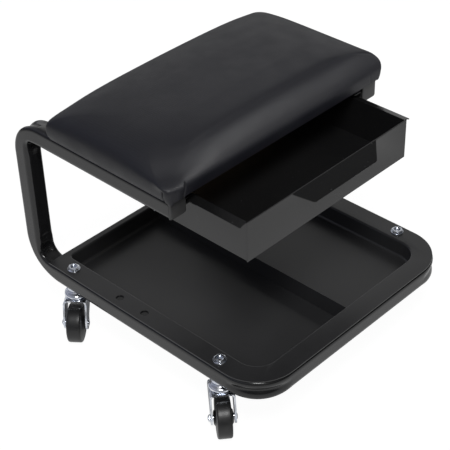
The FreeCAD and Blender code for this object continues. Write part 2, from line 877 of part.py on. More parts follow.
def caster_stem():
    """The threaded stem with its raceway cup above, and the riveted kingpin below the fork."""
    body = new_body("stem_form")
    stem, cup = d.stem / 2, d.cup / 2
    rim = crown_top + d.cup_rim_lift
    pin_top = d.fork_crown_bottom - d.swivel_gap
    revolve(body, "stem_turn", (
        (0, pin_top - d.kingpin_height),
        (d.kingpin / 2, pin_top - d.kingpin_height),
        (d.kingpin / 2, pin_top),
        (stem, pin_top),
        (stem, cup_ceiling),
        (cup - d.cup_sheet, cup_ceiling),
        (cup - d.cup_sheet, rim),
        (cup, rim),
        (cup, cup_ceiling + d.cup_sheet, d.cup_side),
        (d.collar / 2, d.rail_bottom - d.collar_height),
        (d.collar / 2, d.rail_bottom),
        (stem, d.rail_bottom),
        (stem, stem_top),
        (0, stem_top),
    ), "V_Axis")
    return body


def caster_balls():
    balls = []
    for i in range(BALL_COUNT):
        turn = FULL_TURN * i / BALL_COUNT
        ball = doc.addObject("Part::Sphere", f"ball_form_{i}")
        bind(ball, Radius=d.ball / 2)
        across = d.ball_circle / 2
        place(ball, across * math.cos(math.radians(turn)), across * math.sin(math.radians(turn)), ball_middle)
        balls.append(ball)
    return group("ball_form", balls)


def caster_fork():
    """A crown plate round the kingpin and two legs that reach back to the axle."""
    body = new_body("fork_form")
    half = d.fork_crown_width / 2
    extrude(body, "fork_crown", "XY_Plane", d.fork_crown_bottom, d.fork_sheet,
            rectangle(half, -d.fork_crown_front, d.fork_crown_back, d.fork_crown_corner))
    leg = (
        (d.trail - d.fork_eye / 2, wheel_middle - d.fork_eye / 2, d.fork_eye_round),
        (d.trail + d.fork_eye / 2, wheel_middle - d.fork_eye / 2, d.fork_eye_round),
        (d.fork_leg_back, crown_top),
        (-d.fork_leg_front, crown_top),
        (-d.fork_leg_front, crown_top - d.fork_leg_drop),
    )
    for name, lift in (("fork_leg_left", -fork_outside), ("fork_leg_right", d.fork_inside / 2)):
        extrude(body, name, "YZ_Plane", lift, d.fork_sheet, leg)
    extrude(body, "fork_bore", "XY_Plane", crown_top, d.fork_sheet,
            holes=[(0, 0, d.stem + d.running_fit * 2)], kind="Pocket")
    extrude(body, "fork_axle_hole", "YZ_Plane", fork_outside, fork_outside * 2,
            holes=[(d.trail, wheel_middle, d.axle + d.bolt_fit * 2)], kind="Pocket")
    return body


def caster_axle():
    """The axle bolt with its head on the left, and its nut on the right."""
    spot = (d.trail, wheel_middle)
    length = fork_outside * 2 + d.axle_nut_height + d.axle_end
    shank = cylinder("axle_shank", d.axle, length, -fork_outside, *spot, "x")
    head = hexagon("axle_head_form", d.axle_across, d.axle_head, -fork_outside - d.axle_head, *spot, "x")
    blank = hexagon("axle_nut_blank", d.axle_across, d.axle_nut_height, fork_outside, *spot, "x")
    bore = cylinder("axle_nut_bore", d.axle + d.bolt_fit * 2, d.axle_nut_height, fork_outside, *spot, "x")
    return fuse("axle_bolt_form", [shank, head]), cut("axle_nut_form", blank, bore)


def caster_sleeve():
    """The tube that the fork's legs clamp and the wheel turns on."""
    spot = (-d.fork_inside / 2, d.trail, wheel_middle)
    outside = cylinder("sleeve_outside", d.sleeve, d.fork_inside, *spot, "x")
    inside = cylinder("sleeve_inside", d.axle + d.bolt_fit * 2, d.fork_inside, *spot, "x")
    return cut("axle_sleeve_form", outside, inside)


def caster_wheel():
    """A wheel that swells from its tread to its hub on both sides."""
    body = new_body("wheel_form")
    bore = d.sleeve / 2 + d.running_fit
    right = [
        (d.hub_width / 2, bore),
        (d.hub_width / 2, d.hub / 2, d.hub_round),
        (d.wheel_face_width / 2, d.wheel_face / 2),
        (d.tread_width / 2, d.wheel / 2, d.tread_round),
    ]
    left = [(-corner[0],) + corner[1:] for corner in reversed(right)]
    revolve(body, "wheel_turn", right + left, "H_Axis")
    return place(body, 0, d.trail, wheel_middle)


def lock_nut():
    """A hexagon nut with a locking ring, open at the top over the stem's end."""
    blank = hexagon("lock_nut_blank", d.nut_across, d.nut_height, z=washer_top)
    ring = cylinder("lock_nut_ring", d.nut_ring, d.nut_height + d.nut_ring_height, z=washer_top)
    bore = cylinder("lock_nut_bore", d.stem + d.bolt_fit * 2, d.nut_height + d.nut_ring_height, z=washer_top)
    return cut("lock_nut_form", fuse("lock_nut_body", [blank, ring]), bore)


def washer():
    disc = cylinder("washer_disc", d.washer, d.washer_gauge, z=flange_top)
    hole = cylinder("washer_hole", d.stem + d.bolt_fit * 2, d.washer_gauge, z=flange_top)
    return cut("washer_form", disc, hole)


def at_corner(name, form, corner):
    """A copy of a caster's piece at one corner of the stool, turned with its fork."""
    x, y = corners_of_stool[corner]
    return place(group(name, [form]), x, y, 0, getattr(d, f"{corner}_yaw"))


def caster_nodes():
    bolt, nut = caster_axle()
    forms = {
        "caster_stem": caster_stem(),
        "caster_balls": caster_balls(),
        "caster_fork": caster_fork(),
        "axle_bolt": bolt,
        "axle_nut": nut,
        "axle_sleeve": caster_sleeve(),
        "wheel": caster_wheel(),
    }
    nodes = [at_corner(f"{piece}_{corner}", form, corner)
             for corner in corners_of_stool for piece, form in forms.items()]
    for piece, form in (("lock_nut", lock_nut()), ("washer", washer())):
        copies = [at_corner(f"{piece}_{corner}", form, corner) for corner in corners_of_stool]
        nodes.append(group(f"caster_{piece}s", copies))
    return nodes


def all_nodes():
    cap, left_runner = arm_cap(), runner()
    nodes = [frame_tube(), cap, mirror("arm_cap_right", cap), tray(), tray_divider()]
    nodes += [seat_board(), seat_foam(), seat_cover(), *seat_fasteners(), seat_staples()]
    nodes += [left_runner, mirror("runner_right", left_runner), runner_rivets()]
    nodes += [drawer_box(), drawer_front(), drawer_stops()]
    return nodes + caster_nodes()


def export(nodes):
    doc.recompute()
    for item in doc.Objects:
        if "Invalid" in item.State or "Error" in item.State:
            raise RuntimeError(f"{item.Name} did not build")
    for item in nodes:
        shape = item.Shape
        if shape.isNull() or not shape.isValid() or not shape.Solids:
            raise RuntimeError(f"{item.Name} has no sound solid")
        item.Label = item.Name
        shape.exportStep(f"parts/{item.Label}.step")
        print(f"{item.Label}: {len(shape.Solids)} solids, {shape.Volume:.0f} mm3")


export(all_nodes())
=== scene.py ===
"""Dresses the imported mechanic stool: surfaces worked out on grids, node-built finishes and a pale studio.

Shape lengths are millimetres in the part's own frame: X across, Y from front to back, Z up from the floor.
"""

import json
import math

import bmesh
import bpy
import numpy as np
from mathutils import Matrix, Vector

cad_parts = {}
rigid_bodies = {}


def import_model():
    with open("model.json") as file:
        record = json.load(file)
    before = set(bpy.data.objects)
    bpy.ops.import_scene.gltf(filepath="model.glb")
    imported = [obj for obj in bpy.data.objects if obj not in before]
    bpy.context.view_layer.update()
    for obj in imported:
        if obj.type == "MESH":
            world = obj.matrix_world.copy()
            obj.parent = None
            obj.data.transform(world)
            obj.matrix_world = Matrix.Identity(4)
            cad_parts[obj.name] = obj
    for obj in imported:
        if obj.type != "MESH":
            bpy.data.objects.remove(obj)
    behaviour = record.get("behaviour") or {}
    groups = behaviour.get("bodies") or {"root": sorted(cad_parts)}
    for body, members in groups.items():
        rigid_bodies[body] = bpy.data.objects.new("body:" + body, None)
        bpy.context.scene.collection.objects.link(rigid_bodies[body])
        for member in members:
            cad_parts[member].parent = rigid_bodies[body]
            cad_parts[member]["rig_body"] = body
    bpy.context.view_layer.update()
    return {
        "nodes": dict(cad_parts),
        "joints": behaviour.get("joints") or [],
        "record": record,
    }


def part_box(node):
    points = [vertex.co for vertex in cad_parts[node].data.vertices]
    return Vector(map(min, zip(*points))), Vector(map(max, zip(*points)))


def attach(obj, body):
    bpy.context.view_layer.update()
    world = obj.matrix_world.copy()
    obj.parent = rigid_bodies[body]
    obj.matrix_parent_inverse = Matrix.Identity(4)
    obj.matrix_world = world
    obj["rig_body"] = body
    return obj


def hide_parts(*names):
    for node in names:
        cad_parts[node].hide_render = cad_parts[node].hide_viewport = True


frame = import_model()
nodes = frame["nodes"]
joints = {joint["name"]: joint for joint in frame["joints"]}
slot_of = {part["node"]: part["material_slot"] for part in frame["record"]["subparts"]}

MM = 0.001
TURN = 2 * math.pi
SHARP_ANGLE = math.radians(35)
MERGE_DISTANCE = 1e-6


def corners_of(node):
    """A solid's lowest and highest corners in millimetres, to the nearest micrometre."""
    return np.round(np.array(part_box(node)) / MM, 3)


# Frame: the tube's reach and section, and each bend's outer and inner radius
tube_low, tube_high = corners_of("frame_tube")
cap_low, cap_high = corners_of("arm_cap_left")
HALF_WIDTH, HALF_DEPTH, ARM_TOP = tube_high
RAIL_BOTTOM = tube_low[2]
TUBE = cap_high[2] - cap_low[2]
TUBE_ROUND = 6.0
TUBE_MIDDLE = HALF_WIDTH - TUBE / 2
TOP_BEND = (50.0, 12.0)
LOW_BEND = (58.0, 15.0)
FRONT_BEND = 54.0

# Bends: how far the outer wall sinks, how far the inner wall is pushed in, and how deep its wrinkles are
TOP_CRUSH = (4.6, 1.4, 0.4)
LOW_CRUSH = (3.4, 2.6, 2.3)
FRONT_CRUSH = (3.3, 0.5, 0.0)
FRONT_BULGE = 1.6
FRONT_SAG = 0.13

# The crushed wall, in shares of half the tube: its ridges, its depth and the width of a keen crease.
# Then the wrinkles' number, their share at the ridges, and how far the tube spreads
RIDGE_SHARE = 0.86
WALL_SHARE = 0.55
CREASE_SHARE = 0.35
CREASE_REBOUND = 0.12
WRINKLES = 2.5
EDGE_WRINKLE = 0.35
FLARE = 0.035

# Arm caps: rings as (setback from the face, size as a share of the tube)
CAP_PLATE = 2.0
CAP_ROUND = 3.0
CAP_RINGS = np.array([(11.0, 0.0), (11.0, 0.84), (2.2, 0.84), (1.9, 0.985), (0.9, 0.985), (0.4, 0.965),
                      (0.1, 0.92), (0.0, 0.8), (-0.15, 0.0)])
ARM_FRONT = cap_low[1]
ARM_END = ARM_FRONT + CAP_PLATE

# Drawer: the side lips' width, depth and fall, and how far the walls' front ends stand back from the panel
drawer_low, drawer_high = corners_of("drawer_box")
LIP_WIDTH, LIP_DEPTH, LIP_FALL = 10.6, 2.0, 0.29
WALL_END_DEPTH, WALL_END_REACH, WALL_END_GAP = 13.0, 0.5, 1.0

# Sheets: how far their folds and edges are rounded
TRAY_EASE = 0.55
DIVIDER_EASE = 0.35
BOX_EASE = 0.35
PANEL_EASE = 0.45
RUNNER_EASE = 0.3
EASE_STEPS = 3

# Seat: the cover overhangs the board all round
board_low, board_high = corners_of("seat_board")
BOARD_INSET = 9.0
SEAT_HALF = (board_high - board_low)[:2] / 2 + BOARD_INSET
SEAT_MIDDLE = (board_low[1] + board_high[1]) / 2
SEAT_GAP = 0.1
SEAT_FOOT = ARM_TOP + SEAT_GAP
SEAT_RISE = 45.0
SEAT_ROUND = 40.0
SEAT_SHARP_ANGLE = math.radians(60)

# Casters: the axle lies behind the stem by the trail
CORNERS = ("front_left", "front_right", "back_left", "back_right")
stem_spot, axle_spot = (np.array(joints[f"{kind}_front_left"]["pos_m"]) / MM for kind in ("swivel", "spin"))
AXLE_HEIGHT = axle_spot[2]
TRAIL = round(math.dist(stem_spot[:2], axle_spot[:2]), 3)
FLANGE_TOP = corners_of("tray")[1, 2]
WASHER = 1.2
NUT_SHARP_ANGLE = math.radians(25)

# Fork: half the gap between its legs, sheet, bend, height, eye, and the crown's edges from the stem.
# Then how far the edges are drawn forward at the crown and turned down there
FORK_INSIDE = 12.7
FORK_SHEET = 2.2
FORK_OUTSIDE = FORK_INSIDE + FORK_SHEET
FORK_SHOULDER = 5.0
FORK_TOP = 57.8
FORK_EYE = 8.0
FORK_FRONT = -13.0
FORK_BACK = 18.0
FORK_TUCK = 2.0
FORK_FRONT_LIP = 4.2
FORK_BACK_LIP = 0.8


# Node helpers


def grey(level, blue=1.0):
    """An opaque grey, with its blue scaled."""
    return (level, level, level * blue, 1.0)


def wire(tree, kind, inputs=None, **settings):
    """A node with its settings, and its inputs linked from sockets or set to values."""
    node = tree.nodes.new(kind)
    for name, value in settings.items():
        setattr(node, name, value)
    for name, value in (inputs or {}).items():
        socket = node.inputs[name]
        if isinstance(value, bpy.types.NodeSocket):
            tree.links.new(value, socket)
        else:
            socket.default_value = value
    return node


def ramp(tree, fac, stops):
    """A colour ramp through (place, grey or colour) stops."""
    node = wire(tree, "ShaderNodeValToRGB", {"Fac": fac})
    bar = node.color_ramp.elements
    while len(bar) < len(stops):
        bar.new(0.5)
    for element, (place, value) in zip(bar, stops):
        element.position = place
        colour = value if isinstance(value, tuple) else (value,) * 3
        element.color = (*colour, 1.0)
    return node.outputs["Color"]


def noise(tree, place, scale, detail):
    """Fractal noise as a value."""
    return wire(tree, "ShaderNodeTexNoise", {"Vector": place, "Scale": scale, "Detail": detail}).outputs[0]


def arithmetic(tree, operation, *values):
    """One operation on values, in their order."""
    return wire(tree, "ShaderNodeMath", dict(enumerate(values)), operation=operation).outputs[0]


def combined(tree, operation, one, other):
    """One operation on two vectors or colours, part by part."""
    return wire(tree, "ShaderNodeVectorMath", {0: one, 1: other}, operation=operation).outputs["Vector"]


def mixed_colour(tree, fac, one, other):
    """One colour that turns into another as the factor goes from 0 to 1."""
    return wire(tree, "ShaderNodeMix", {0: fac, 6: one, 7: other}, data_type="RGBA").outputs[2]


def spread(tree, value, span, onto=(0.0, 1.0)):
    """A value carried from one span onto another and held within it."""
    return wire(tree, "ShaderNodeMapRange", {
        "Value": value, "From Min": span[0], "From Max": span[1], "To Min": onto[0], "To Max": onto[1],
    }).outputs[0]


# Shared effects

FLOAT, COLOUR = "NodeSocketFloat", "NodeSocketColor"
RESULTS = (("Color", COLOUR), ("Roughness", FLOAT), ("Height", FLOAT))
MIDDLE_OF_NOISE = (0.3, 0.7)


def effect(name, inputs):
    """A shader group that gives a colour, a roughness and a height; an input with a tuple is a colour.

    Returns the group, its input sockets by name and the object's own coordinates.
    """
    group = bpy.data.node_groups.new(name, "ShaderNodeTree")
    for label, default in inputs.items():
        kind = COLOUR if isinstance(default, tuple) else FLOAT
        group.interface.new_socket(label, in_out="INPUT", socket_type=kind).default_value = default
    for label, kind in RESULTS:
        group.interface.new_socket(label, in_out="OUTPUT", socket_type=kind)
    place = wire(group, "ShaderNodeTexCoord").outputs["Object"]
    return group, wire(group, "NodeGroupInput").outputs, place


def completed(group, colour, roughness, height):
    """The group with its results led out."""
    wire(group, "NodeGroupOutput", {"Color": colour, "Roughness": roughness, "Height": height})
    return group


def powder_coat_effect():
    """Orange peel: fine noise as height, broad noise as a slight change of tone and gloss, sparse dust."""
    group, given, place = effect("powder_coat", {
        "Tone": grey(0.02), "Peel Scale": 500.0, "Gloss Low": 0.3, "Gloss High": 0.42})
    peel = noise(group, place, scale=given["Peel Scale"], detail=2.0)
    cloud = noise(group, place, scale=14.0, detail=4.0)
    dust = ramp(group, noise(group, place, scale=330.0, detail=1.0), ((0.74, 0.0), (0.82, 0.35)))
    level = arithmetic(group, "MULTIPLY_ADD", cloud, 0.5, 0.75)
    tone = wire(group, "ShaderNodeHueSaturation", {"Value": level, "Color": given["Tone"]}).outputs[0]
    dusty = mixed_colour(group, dust, tone, grey(0.10, 1.05))
    gloss = spread(group, cloud, MIDDLE_OF_NOISE, (given["Gloss Low"], given["Gloss High"]))
    return completed(group, dusty, gloss, peel)


def vinyl_grain_effect():
    """Grain: small rounded cells with valleys between them, warped by noise, over a broader creasing."""
    group, given, place = effect("vinyl_grain", {"Tone": (0.012, 0.012, 0.014, 1), "Cell Scale": 620.0})
    drift = wire(group, "ShaderNodeTexNoise", {"Vector": place, "Scale": 240.0, "Detail": 2.0})
    push = combined(group, "MULTIPLY", drift.outputs["Color"], (0.0022,) * 3)
    cells = wire(group, "ShaderNodeTexVoronoi",
                 {"Vector": combined(group, "ADD", place, push), "Scale": given["Cell Scale"]},
                 feature="DISTANCE_TO_EDGE").outputs["Distance"]
    valley = ramp(group, cells, ((0.0, 0.0), (0.16, 0.75), (0.5, 1.0)))
    broad = noise(group, place, scale=45.0, detail=5.0)
    lines = wire(group, "ShaderNodeTexWave",
                 {"Vector": place, "Scale": 115.0, "Distortion": 2.5, "Detail": 1.0},
                 bands_direction="X").outputs["Fac"]
    fine = arithmetic(group, "MULTIPLY_ADD", lines, 0.5, valley)
    height = arithmetic(group, "MULTIPLY_ADD", broad, 0.35, fine)
    dark = wire(group, "ShaderNodeHueSaturation", {"Value": 0.55, "Color": given["Tone"]}).outputs[0]
    tone = mixed_colour(group, valley, dark, given["Tone"])
    gloss = spread(group, broad, MIDDLE_OF_NOISE, (0.46, 0.54))
    return completed(group, tone, gloss, height)


def plated_effect():
    """Zinc plate: mottled crystal tone between two colours, fine drawn scratches and a patchy gloss."""
    group, given, place = effect("plated", {
        "Bright": (0.7, 0.72, 0.76, 1), "Dull": (0.45, 0.48, 0.55, 1), "Roughness Base": 0.18})
    mottle = noise(group, place, scale=160.0, detail=5.0)
    stretch = wire(group, "ShaderNodeMapping", {"Vector": place, "Scale": (300.0, 300.0, 2400.0)}).outputs[0]
    drawn = noise(group, stretch, scale=1.0, detail=3.0)
    patch = ramp(group, mottle, ((0.38, 0.0), (0.62, 1.0)))
    tone = mixed_colour(group, patch, given["Bright"], given["Dull"])
    gloss = arithmetic(group, "MULTIPLY_ADD", drawn, 0.16, given["Roughness Base"])
    return completed(group, tone, gloss, drawn)


def moulded_effect():
    """Moulded rubber or plastic: matt speckle, slight flow marks and paler, rougher scuffed patches."""
    group, given, place = effect("moulded", {
        "Tone": (0.03, 0.03, 0.032, 1), "Scuff": grey(0.08), "Roughness Base": 0.35})
    speckle = noise(group, place, scale=1400.0, detail=2.0)
    flow = noise(group, place, scale=70.0, detail=5.0)
    worn = ramp(group, flow, ((0.52, 0.0), (0.74, 0.6)))
    tone = mixed_colour(group, worn, given["Tone"], given["Scuff"])
    gloss = arithmetic(group, "MULTIPLY_ADD", flow, 0.22, given["Roughness Base"])
    return completed(group, tone, gloss, speckle)


def plywood_effect():
    """Plywood: rings of a wave warped by noise, seen as two browns, with fine pores."""
    group, given, place = effect("plywood", {"Light": (0.48, 0.34, 0.20, 1), "Dark": (0.30, 0.19, 0.10, 1)})
    long_way = wire(group, "ShaderNodeMapping", {"Vector": place, "Scale": (1.0, 9.0, 9.0)}).outputs[0]
    rings = wire(group, "ShaderNodeTexWave",
                 {"Vector": long_way, "Scale": 6.0, "Distortion": 7.0, "Detail": 3.0}).outputs["Fac"]
    pores = noise(group, long_way, scale=260.0, detail=2.0)
    tone = mixed_colour(group, rings, given["Light"], given["Dark"])
    gloss = spread(group, pores, (0.0, 1.0), (0.55, 0.8))
    return completed(group, tone, gloss, pores)


def finish_of(name, group, depth, values, shading=None):
    """A material that takes colour, roughness and height from one effect, with bump depth in millimetres.

    The values go to the effect's inputs and the shading to the shader's own sockets.
    """
    material = bpy.data.materials.new(name)
    material.use_nodes = True
    tree = material.node_tree
    tree.nodes.clear()
    skin = wire(tree, "ShaderNodeGroup", values, node_tree=group).outputs
    relief = wire(tree, "ShaderNodeBump",
                  {"Height": skin["Height"], "Distance": depth * MM, "Strength": 1.0})
    shader = wire(tree, "ShaderNodeBsdfPrincipled", {
        "Base Color": skin["Color"], "Roughness": skin["Roughness"], "Normal": relief.outputs["Normal"],
        **(shading or {})})
    wire(tree, "ShaderNodeOutputMaterial", {"Surface": shader.outputs[0]})
    return material


powder_coat, vinyl_grain, plated = powder_coat_effect(), vinyl_grain_effect(), plated_effect()
moulded, plywood = moulded_effect(), plywood_effect()
metal = {"Metallic": 1.0}

# Finishes: effect, bump depth, the effect's values and the shader's own
recipes = {
    "frame_paint": (powder_coat, 0.004, {"Tone": grey(0.011, 1.06), "Gloss Low": 0.14, "Gloss High": 0.20}),
    "tray_paint": (powder_coat, 0.010, {"Tone": grey(0.024, 1.04), "Gloss Low": 0.28, "Gloss High": 0.36}),
    "drawer_paint": (powder_coat, 0.008, {"Tone": grey(0.011, 1.03), "Gloss Low": 0.20, "Gloss High": 0.26}),
    "seat_vinyl": (vinyl_grain, 0.06, {"Tone": (0.0060, 0.0062, 0.0110, 1)}, {"Specular IOR Level": 0.58}),
    "seat_wood": (plywood, 0.05, {}),
    "zinc": (plated, 0.003, {"Bright": (0.86, 0.88, 0.92, 1), "Dull": (0.62, 0.66, 0.74, 1),
                             "Roughness Base": 0.13}, metal),
    # The runners' zinc is made dark grey, as painted shade for the shade they lie in under the seat
    "runner_zinc": (plated, 0.006, {"Bright": grey(0.10), "Dull": grey(0.06, 1.08),
                                    "Roughness Base": 0.4}, metal),
    "cap_plastic": (moulded, 0.008, {"Tone": grey(0.045), "Scuff": grey(0.060), "Roughness Base": 0.22}),
    "wheel_rubber": (moulded, 0.010, {"Tone": grey(0.012, 1.04), "Scuff": grey(0.03),
                                      "Roughness Base": 0.26}),
}
finishes = {name: finish_of(name, *recipe) for name, recipe in recipes.items()}


# Mesh helpers


def shell(points, ring=False, lids=True):
    """Vertices and faces of a grid whose columns close into loops.

    As a ring the rows close as well. Otherwise a flat lid closes each end.
    """
    rows, columns = points.shape[:2]
    row = np.arange(rows if ring else rows - 1)[:, None]
    column = np.arange(columns)[None, :]
    next_row, next_column = (row + 1) % rows, (column + 1) % columns
    quads = np.stack(np.broadcast_arrays(
        row * columns + column, row * columns + next_column,
        next_row * columns + next_column, next_row * columns + column), -1)
    faces = quads.reshape(-1, 4).tolist()
    if lids and not ring:
        last = (rows - 1) * columns
        faces += [list(range(columns))[::-1], list(range(last, last + columns))]
    return points.reshape(-1, 3), faces


def shade(mesh, sharp=SHARP_ANGLE):
    """Shade smooth except at sharp edges."""
    mesh.polygons.foreach_set("use_smooth", np.ones(len(mesh.polygons), bool))
    mesh.set_sharp_from_angle(angle=sharp)


def dress(item, body, slot, replaced):
    """Put a finished piece in the scene on its body, with its slot's finish."""
    bpy.context.scene.collection.objects.link(item)
    item.data.materials.clear()
    item.data.materials.append(finishes[slot])
    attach(item, body)
    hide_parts(*replaced)
    return item


def piece(name, shells, body, slot, replaced, sharp=SHARP_ANGLE):
    """One object made of closed shells, with doubles merged and faces turned outwards."""
    starts = np.cumsum([0] + [len(points) for points, _ in shells])
    points = np.concatenate([points for points, _ in shells]) * MM
    faces = [[corner + start for corner in face]
             for (_, part), start in zip(shells, starts) for face in part]
    mesh = bpy.data.meshes.new(name)
    mesh.from_pydata(points, [], faces)
    bm = bmesh.new()
    bm.from_mesh(mesh)
    bmesh.ops.remove_doubles(bm, verts=bm.verts, dist=MERGE_DISTANCE)
    bmesh.ops.recalc_face_normals(bm, faces=bm.faces)
    bm.to_mesh(mesh)
    bm.free()
    shade(mesh, sharp)
    return dress(bpy.data.objects.new(name, mesh), body, slot, replaced)


def eased(name, node, width, form=None):
    """A copy of a solid's mesh, reshaped where a form is given, with its edges rounded by a bevel."""
    mesh = nodes[node].data.copy()
    mesh.name = name
    bm = bmesh.new()
    bm.from_mesh(mesh)
    bmesh.ops.remove_doubles(bm, verts=bm.verts, dist=MERGE_DISTANCE)
    bmesh.ops.dissolve_limit(bm, angle_limit=math.radians(0.2), verts=bm.verts, edges=bm.edges)
    bm.to_mesh(mesh)
    bm.free()
    if form:
        spots = np.empty(3 * len(mesh.vertices))
        mesh.vertices.foreach_get("co", spots)
        mesh.vertices.foreach_set("co", (form(spots.reshape(-1, 3) / MM) * MM).ravel())
        mesh.update()
    shade(mesh)
    item = dress(bpy.data.objects.new(name, mesh), nodes[node]["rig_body"], slot_of[node], [node])
    bevel = item.modifiers.new("folded_edges", "BEVEL")
    bevel.limit_method = "ANGLE"
    bevel.angle_limit = SHARP_ANGLE
    bevel.width = width * MM
    bevel.segments = EASE_STEPS
    bevel.harden_normals = True
    bevel.use_clamp_overlap = True
    return item


def leaning_lip(spots):
    """The drawer's side lips fall outwards from the walls, almost onto their turned-down edges.

    The fall grows evenly with the distance from the wall. The walls' upper front ends stand back a little.
    """
    x, y, z = spots.T
    side, front, top = drawer_high[0], drawer_low[1], drawer_high[2]
    fall = LIP_FALL * np.maximum(np.abs(x) - (side - LIP_WIDTH), 0) * (z > top - LIP_DEPTH)
    gap = WALL_END_GAP * ((z > top - WALL_END_DEPTH) & (y < front + WALL_END_REACH))
    return np.stack([x, y + gap, z - fall], 1)


def rounded(corners, radius, steps, hold=0.15):
    """A closed outline whose corners are arcs, with a point held close beside each arc to keep flats flat.

    Each arc's centre lies on the corner's bisector at radius over the sine of half its angle.
    """
    spots = np.asarray(corners, float)
    back = np.roll(spots, 1, 0) - spots
    ahead = np.roll(spots, -1, 0) - spots
    back /= np.linalg.norm(back, axis=1)[:, None]
    ahead /= np.linalg.norm(ahead, axis=1)[:, None]
    half = np.arccos(np.clip((back * ahead).sum(1), -1, 1))[:, None] / 2
    reach = radius / np.tan(half)
    middle = back + ahead
    centre = spots + middle / np.linalg.norm(middle, axis=1)[:, None] * radius / np.sin(half)
    first, last = spots + back * reach - centre, spots + ahead * reach - centre
    start = np.arctan2(first[:, 1], first[:, 0])
    sweep = np.arctan2(last[:, 1], last[:, 0]) - start
    sweep = (sweep + math.pi) % TURN - math.pi
    angle = start[:, None] + sweep[:, None] * np.linspace(0, 1, steps)
    arc = centre[:, None] + radius * np.stack([np.cos(angle), np.sin(angle)], -1)
    before, after = (spots + way * (reach + hold) for way in (back, ahead))
    return np.concatenate([before[:, None], arc, after[:, None]], 1).reshape(-1, 2)


def lathe(profile, segments):
    """A profile of (radius, height) turned about the vertical axis."""
    angle = np.linspace(0, TURN, segments, endpoint=False)
    radius, height = profile[:, 0, None], profile[:, 1, None]
    return np.stack([radius * np.cos(angle), radius * np.sin(angle), height + 0 * angle], -1)


def on_axle(points, x=0.0):
    """A turned shape laid along the axle: its height becomes x, and its x and y become y and z."""
    return np.stack([points[..., 2] + x, points[..., 0] + TRAIL, points[..., 1] + AXLE_HEIGHT], -1)


def at_caster(points, corner):
    """Turn points about the stem until X runs along that caster's axle, and carry them to its corner."""
    x, y, _ = joints[f"swivel_{corner}"]["pos_m"]
    c, s, _ = joints[f"spin_{corner}"]["axis"]
    return points @ np.array([[c, s, 0], [-s, c, 0], [0, 0, 1]]) + np.array([x, y, 0]) / MM


def bell(value, middle, width):
    """A bell of height 1 about a middle."""
    return np.exp(-(((value - middle) / width) ** 2))


def smooth(value, low, high):
    """0 below low, 1 above high, and a cubic ease between."""
    t = np.clip((value - low) / (high - low), 0, 1)
    return t * t * (3 - 2 * t)


# Frame tube


def tube_outline(corner):
    """The square tube's outline with rounded corners as (p, q), where p points out of the side bends."""
    half, flat = TUBE / 2, TUBE / 2 - corner
    along = np.linspace(-flat, flat, 15)
    turn = np.linspace(0, math.pi / 2, 7)[1:-1]
    side = np.stack([np.full_like(along, half), along], 1)
    arc = flat + corner * np.stack([np.cos(turn), np.sin(turn)], 1)
    quarters = [np.concatenate([side, arc])]
    for _ in range(3):
        p, q = quarters[-1].T
        quarters.append(np.stack([-q, p], 1))
    return np.concatenate(quarters).T


def crushed(toward, across, share, crush, keen=False):
    """The outline in a bend: the outer wall sinks between ridges, the inner one is pushed in and wrinkles.

    Both grow with the sine of the bend's share to the power 0.8 and fade to the ridges as a squared cosine.
    A keen crease falls off as one over one plus the square instead.
    """
    sink, push, ripple = crush
    half = TUBE / 2
    depth = np.sin(math.pi * share) ** 0.8
    place = np.clip(across / (half * RIDGE_SHARE), -1, 1)
    crease = (1 + CREASE_REBOUND) / (1 + (place / CREASE_SHARE) ** 2) - CREASE_REBOUND
    valley = crease if keen else np.cos(place * math.pi / 2) ** 2
    outer, inner = (smooth(way * toward, WALL_SHARE * half, half) for way in (1, -1))
    waves = ripple * np.cos(share * TURN * WRINKLES) * np.sin(math.pi * share)
    waves = waves * (EDGE_WRINKLE + (1 - EDGE_WRINKLE) * valley)
    shift = depth * valley * (inner * push - outer * sink) + inner * waves
    return toward + shift, across * (1 + FLARE * depth)


def inner_radius(angle, outer, inner):
    """Distance from the outer arc's centre to the inner wall: two straight walls joined by the inner arc."""
    c, s = np.abs(np.cos(angle)), np.abs(np.sin(angle))
    step = outer - TUBE - inner
    arc = step * (c + s) + np.sqrt(np.maximum((step * (c + s)) ** 2 - 2 * step ** 2 + inner ** 2, 0))
    straight = (outer - TUBE) / np.maximum(np.maximum(c, s), 1e-9)
    tangent = math.atan2(step, outer - TUBE)
    steep = np.minimum(np.arctan2(np.minimum(c, s), np.maximum(c, s)), math.pi / 4)
    return np.where(steep < tangent, straight, arc)


def side_bend(p, q, centre, start, end, radii, count, crush):
    """Rows of the outline swept about a centre (y, z) in the upright plane of the left side."""
    share = np.linspace(0, 1, count)[:, None]
    angle = math.radians(start) + (math.radians(end) - math.radians(start)) * share
    toward, across = crushed(p[None], q[None], share, crush)
    low = inner_radius(angle, *radii)
    radius = low + (toward / TUBE + 0.5) * (radii[0] - low)
    return np.stack([across - TUBE_MIDDLE + 0 * radius, centre[0] + radius * np.cos(angle),
                     centre[1] + radius * np.sin(angle)], -1)


def front_bend(p, q, count):
    """Rows of the outline swept round the lower loop's front left corner; the outer wall faces away from q.

    The crushed tube bulges outwards and sags by the sine of the bend's share.
    """
    share = np.linspace(0, 1, count)[:, None]
    angle = math.pi + share * math.pi / 2
    toward, upright = crushed(-q[None], p[None], share, FRONT_CRUSH, keen=True)
    bent = np.sin(math.pi * share)
    bulge = FRONT_BULGE * bent * smooth(-q[None], 0.3 * TUBE / 2, TUBE / 2)
    radius = FRONT_BEND - TUBE / 2 + toward + bulge
    upright = upright + FRONT_SAG * bent * np.maximum(p[None], 0)
    return np.stack([FRONT_BEND - HALF_WIDTH + radius * np.cos(angle),
                     FRONT_BEND - HALF_DEPTH + radius * np.sin(angle),
                     RAIL_BOTTOM + TUBE / 2 - upright + 0 * radius], -1)


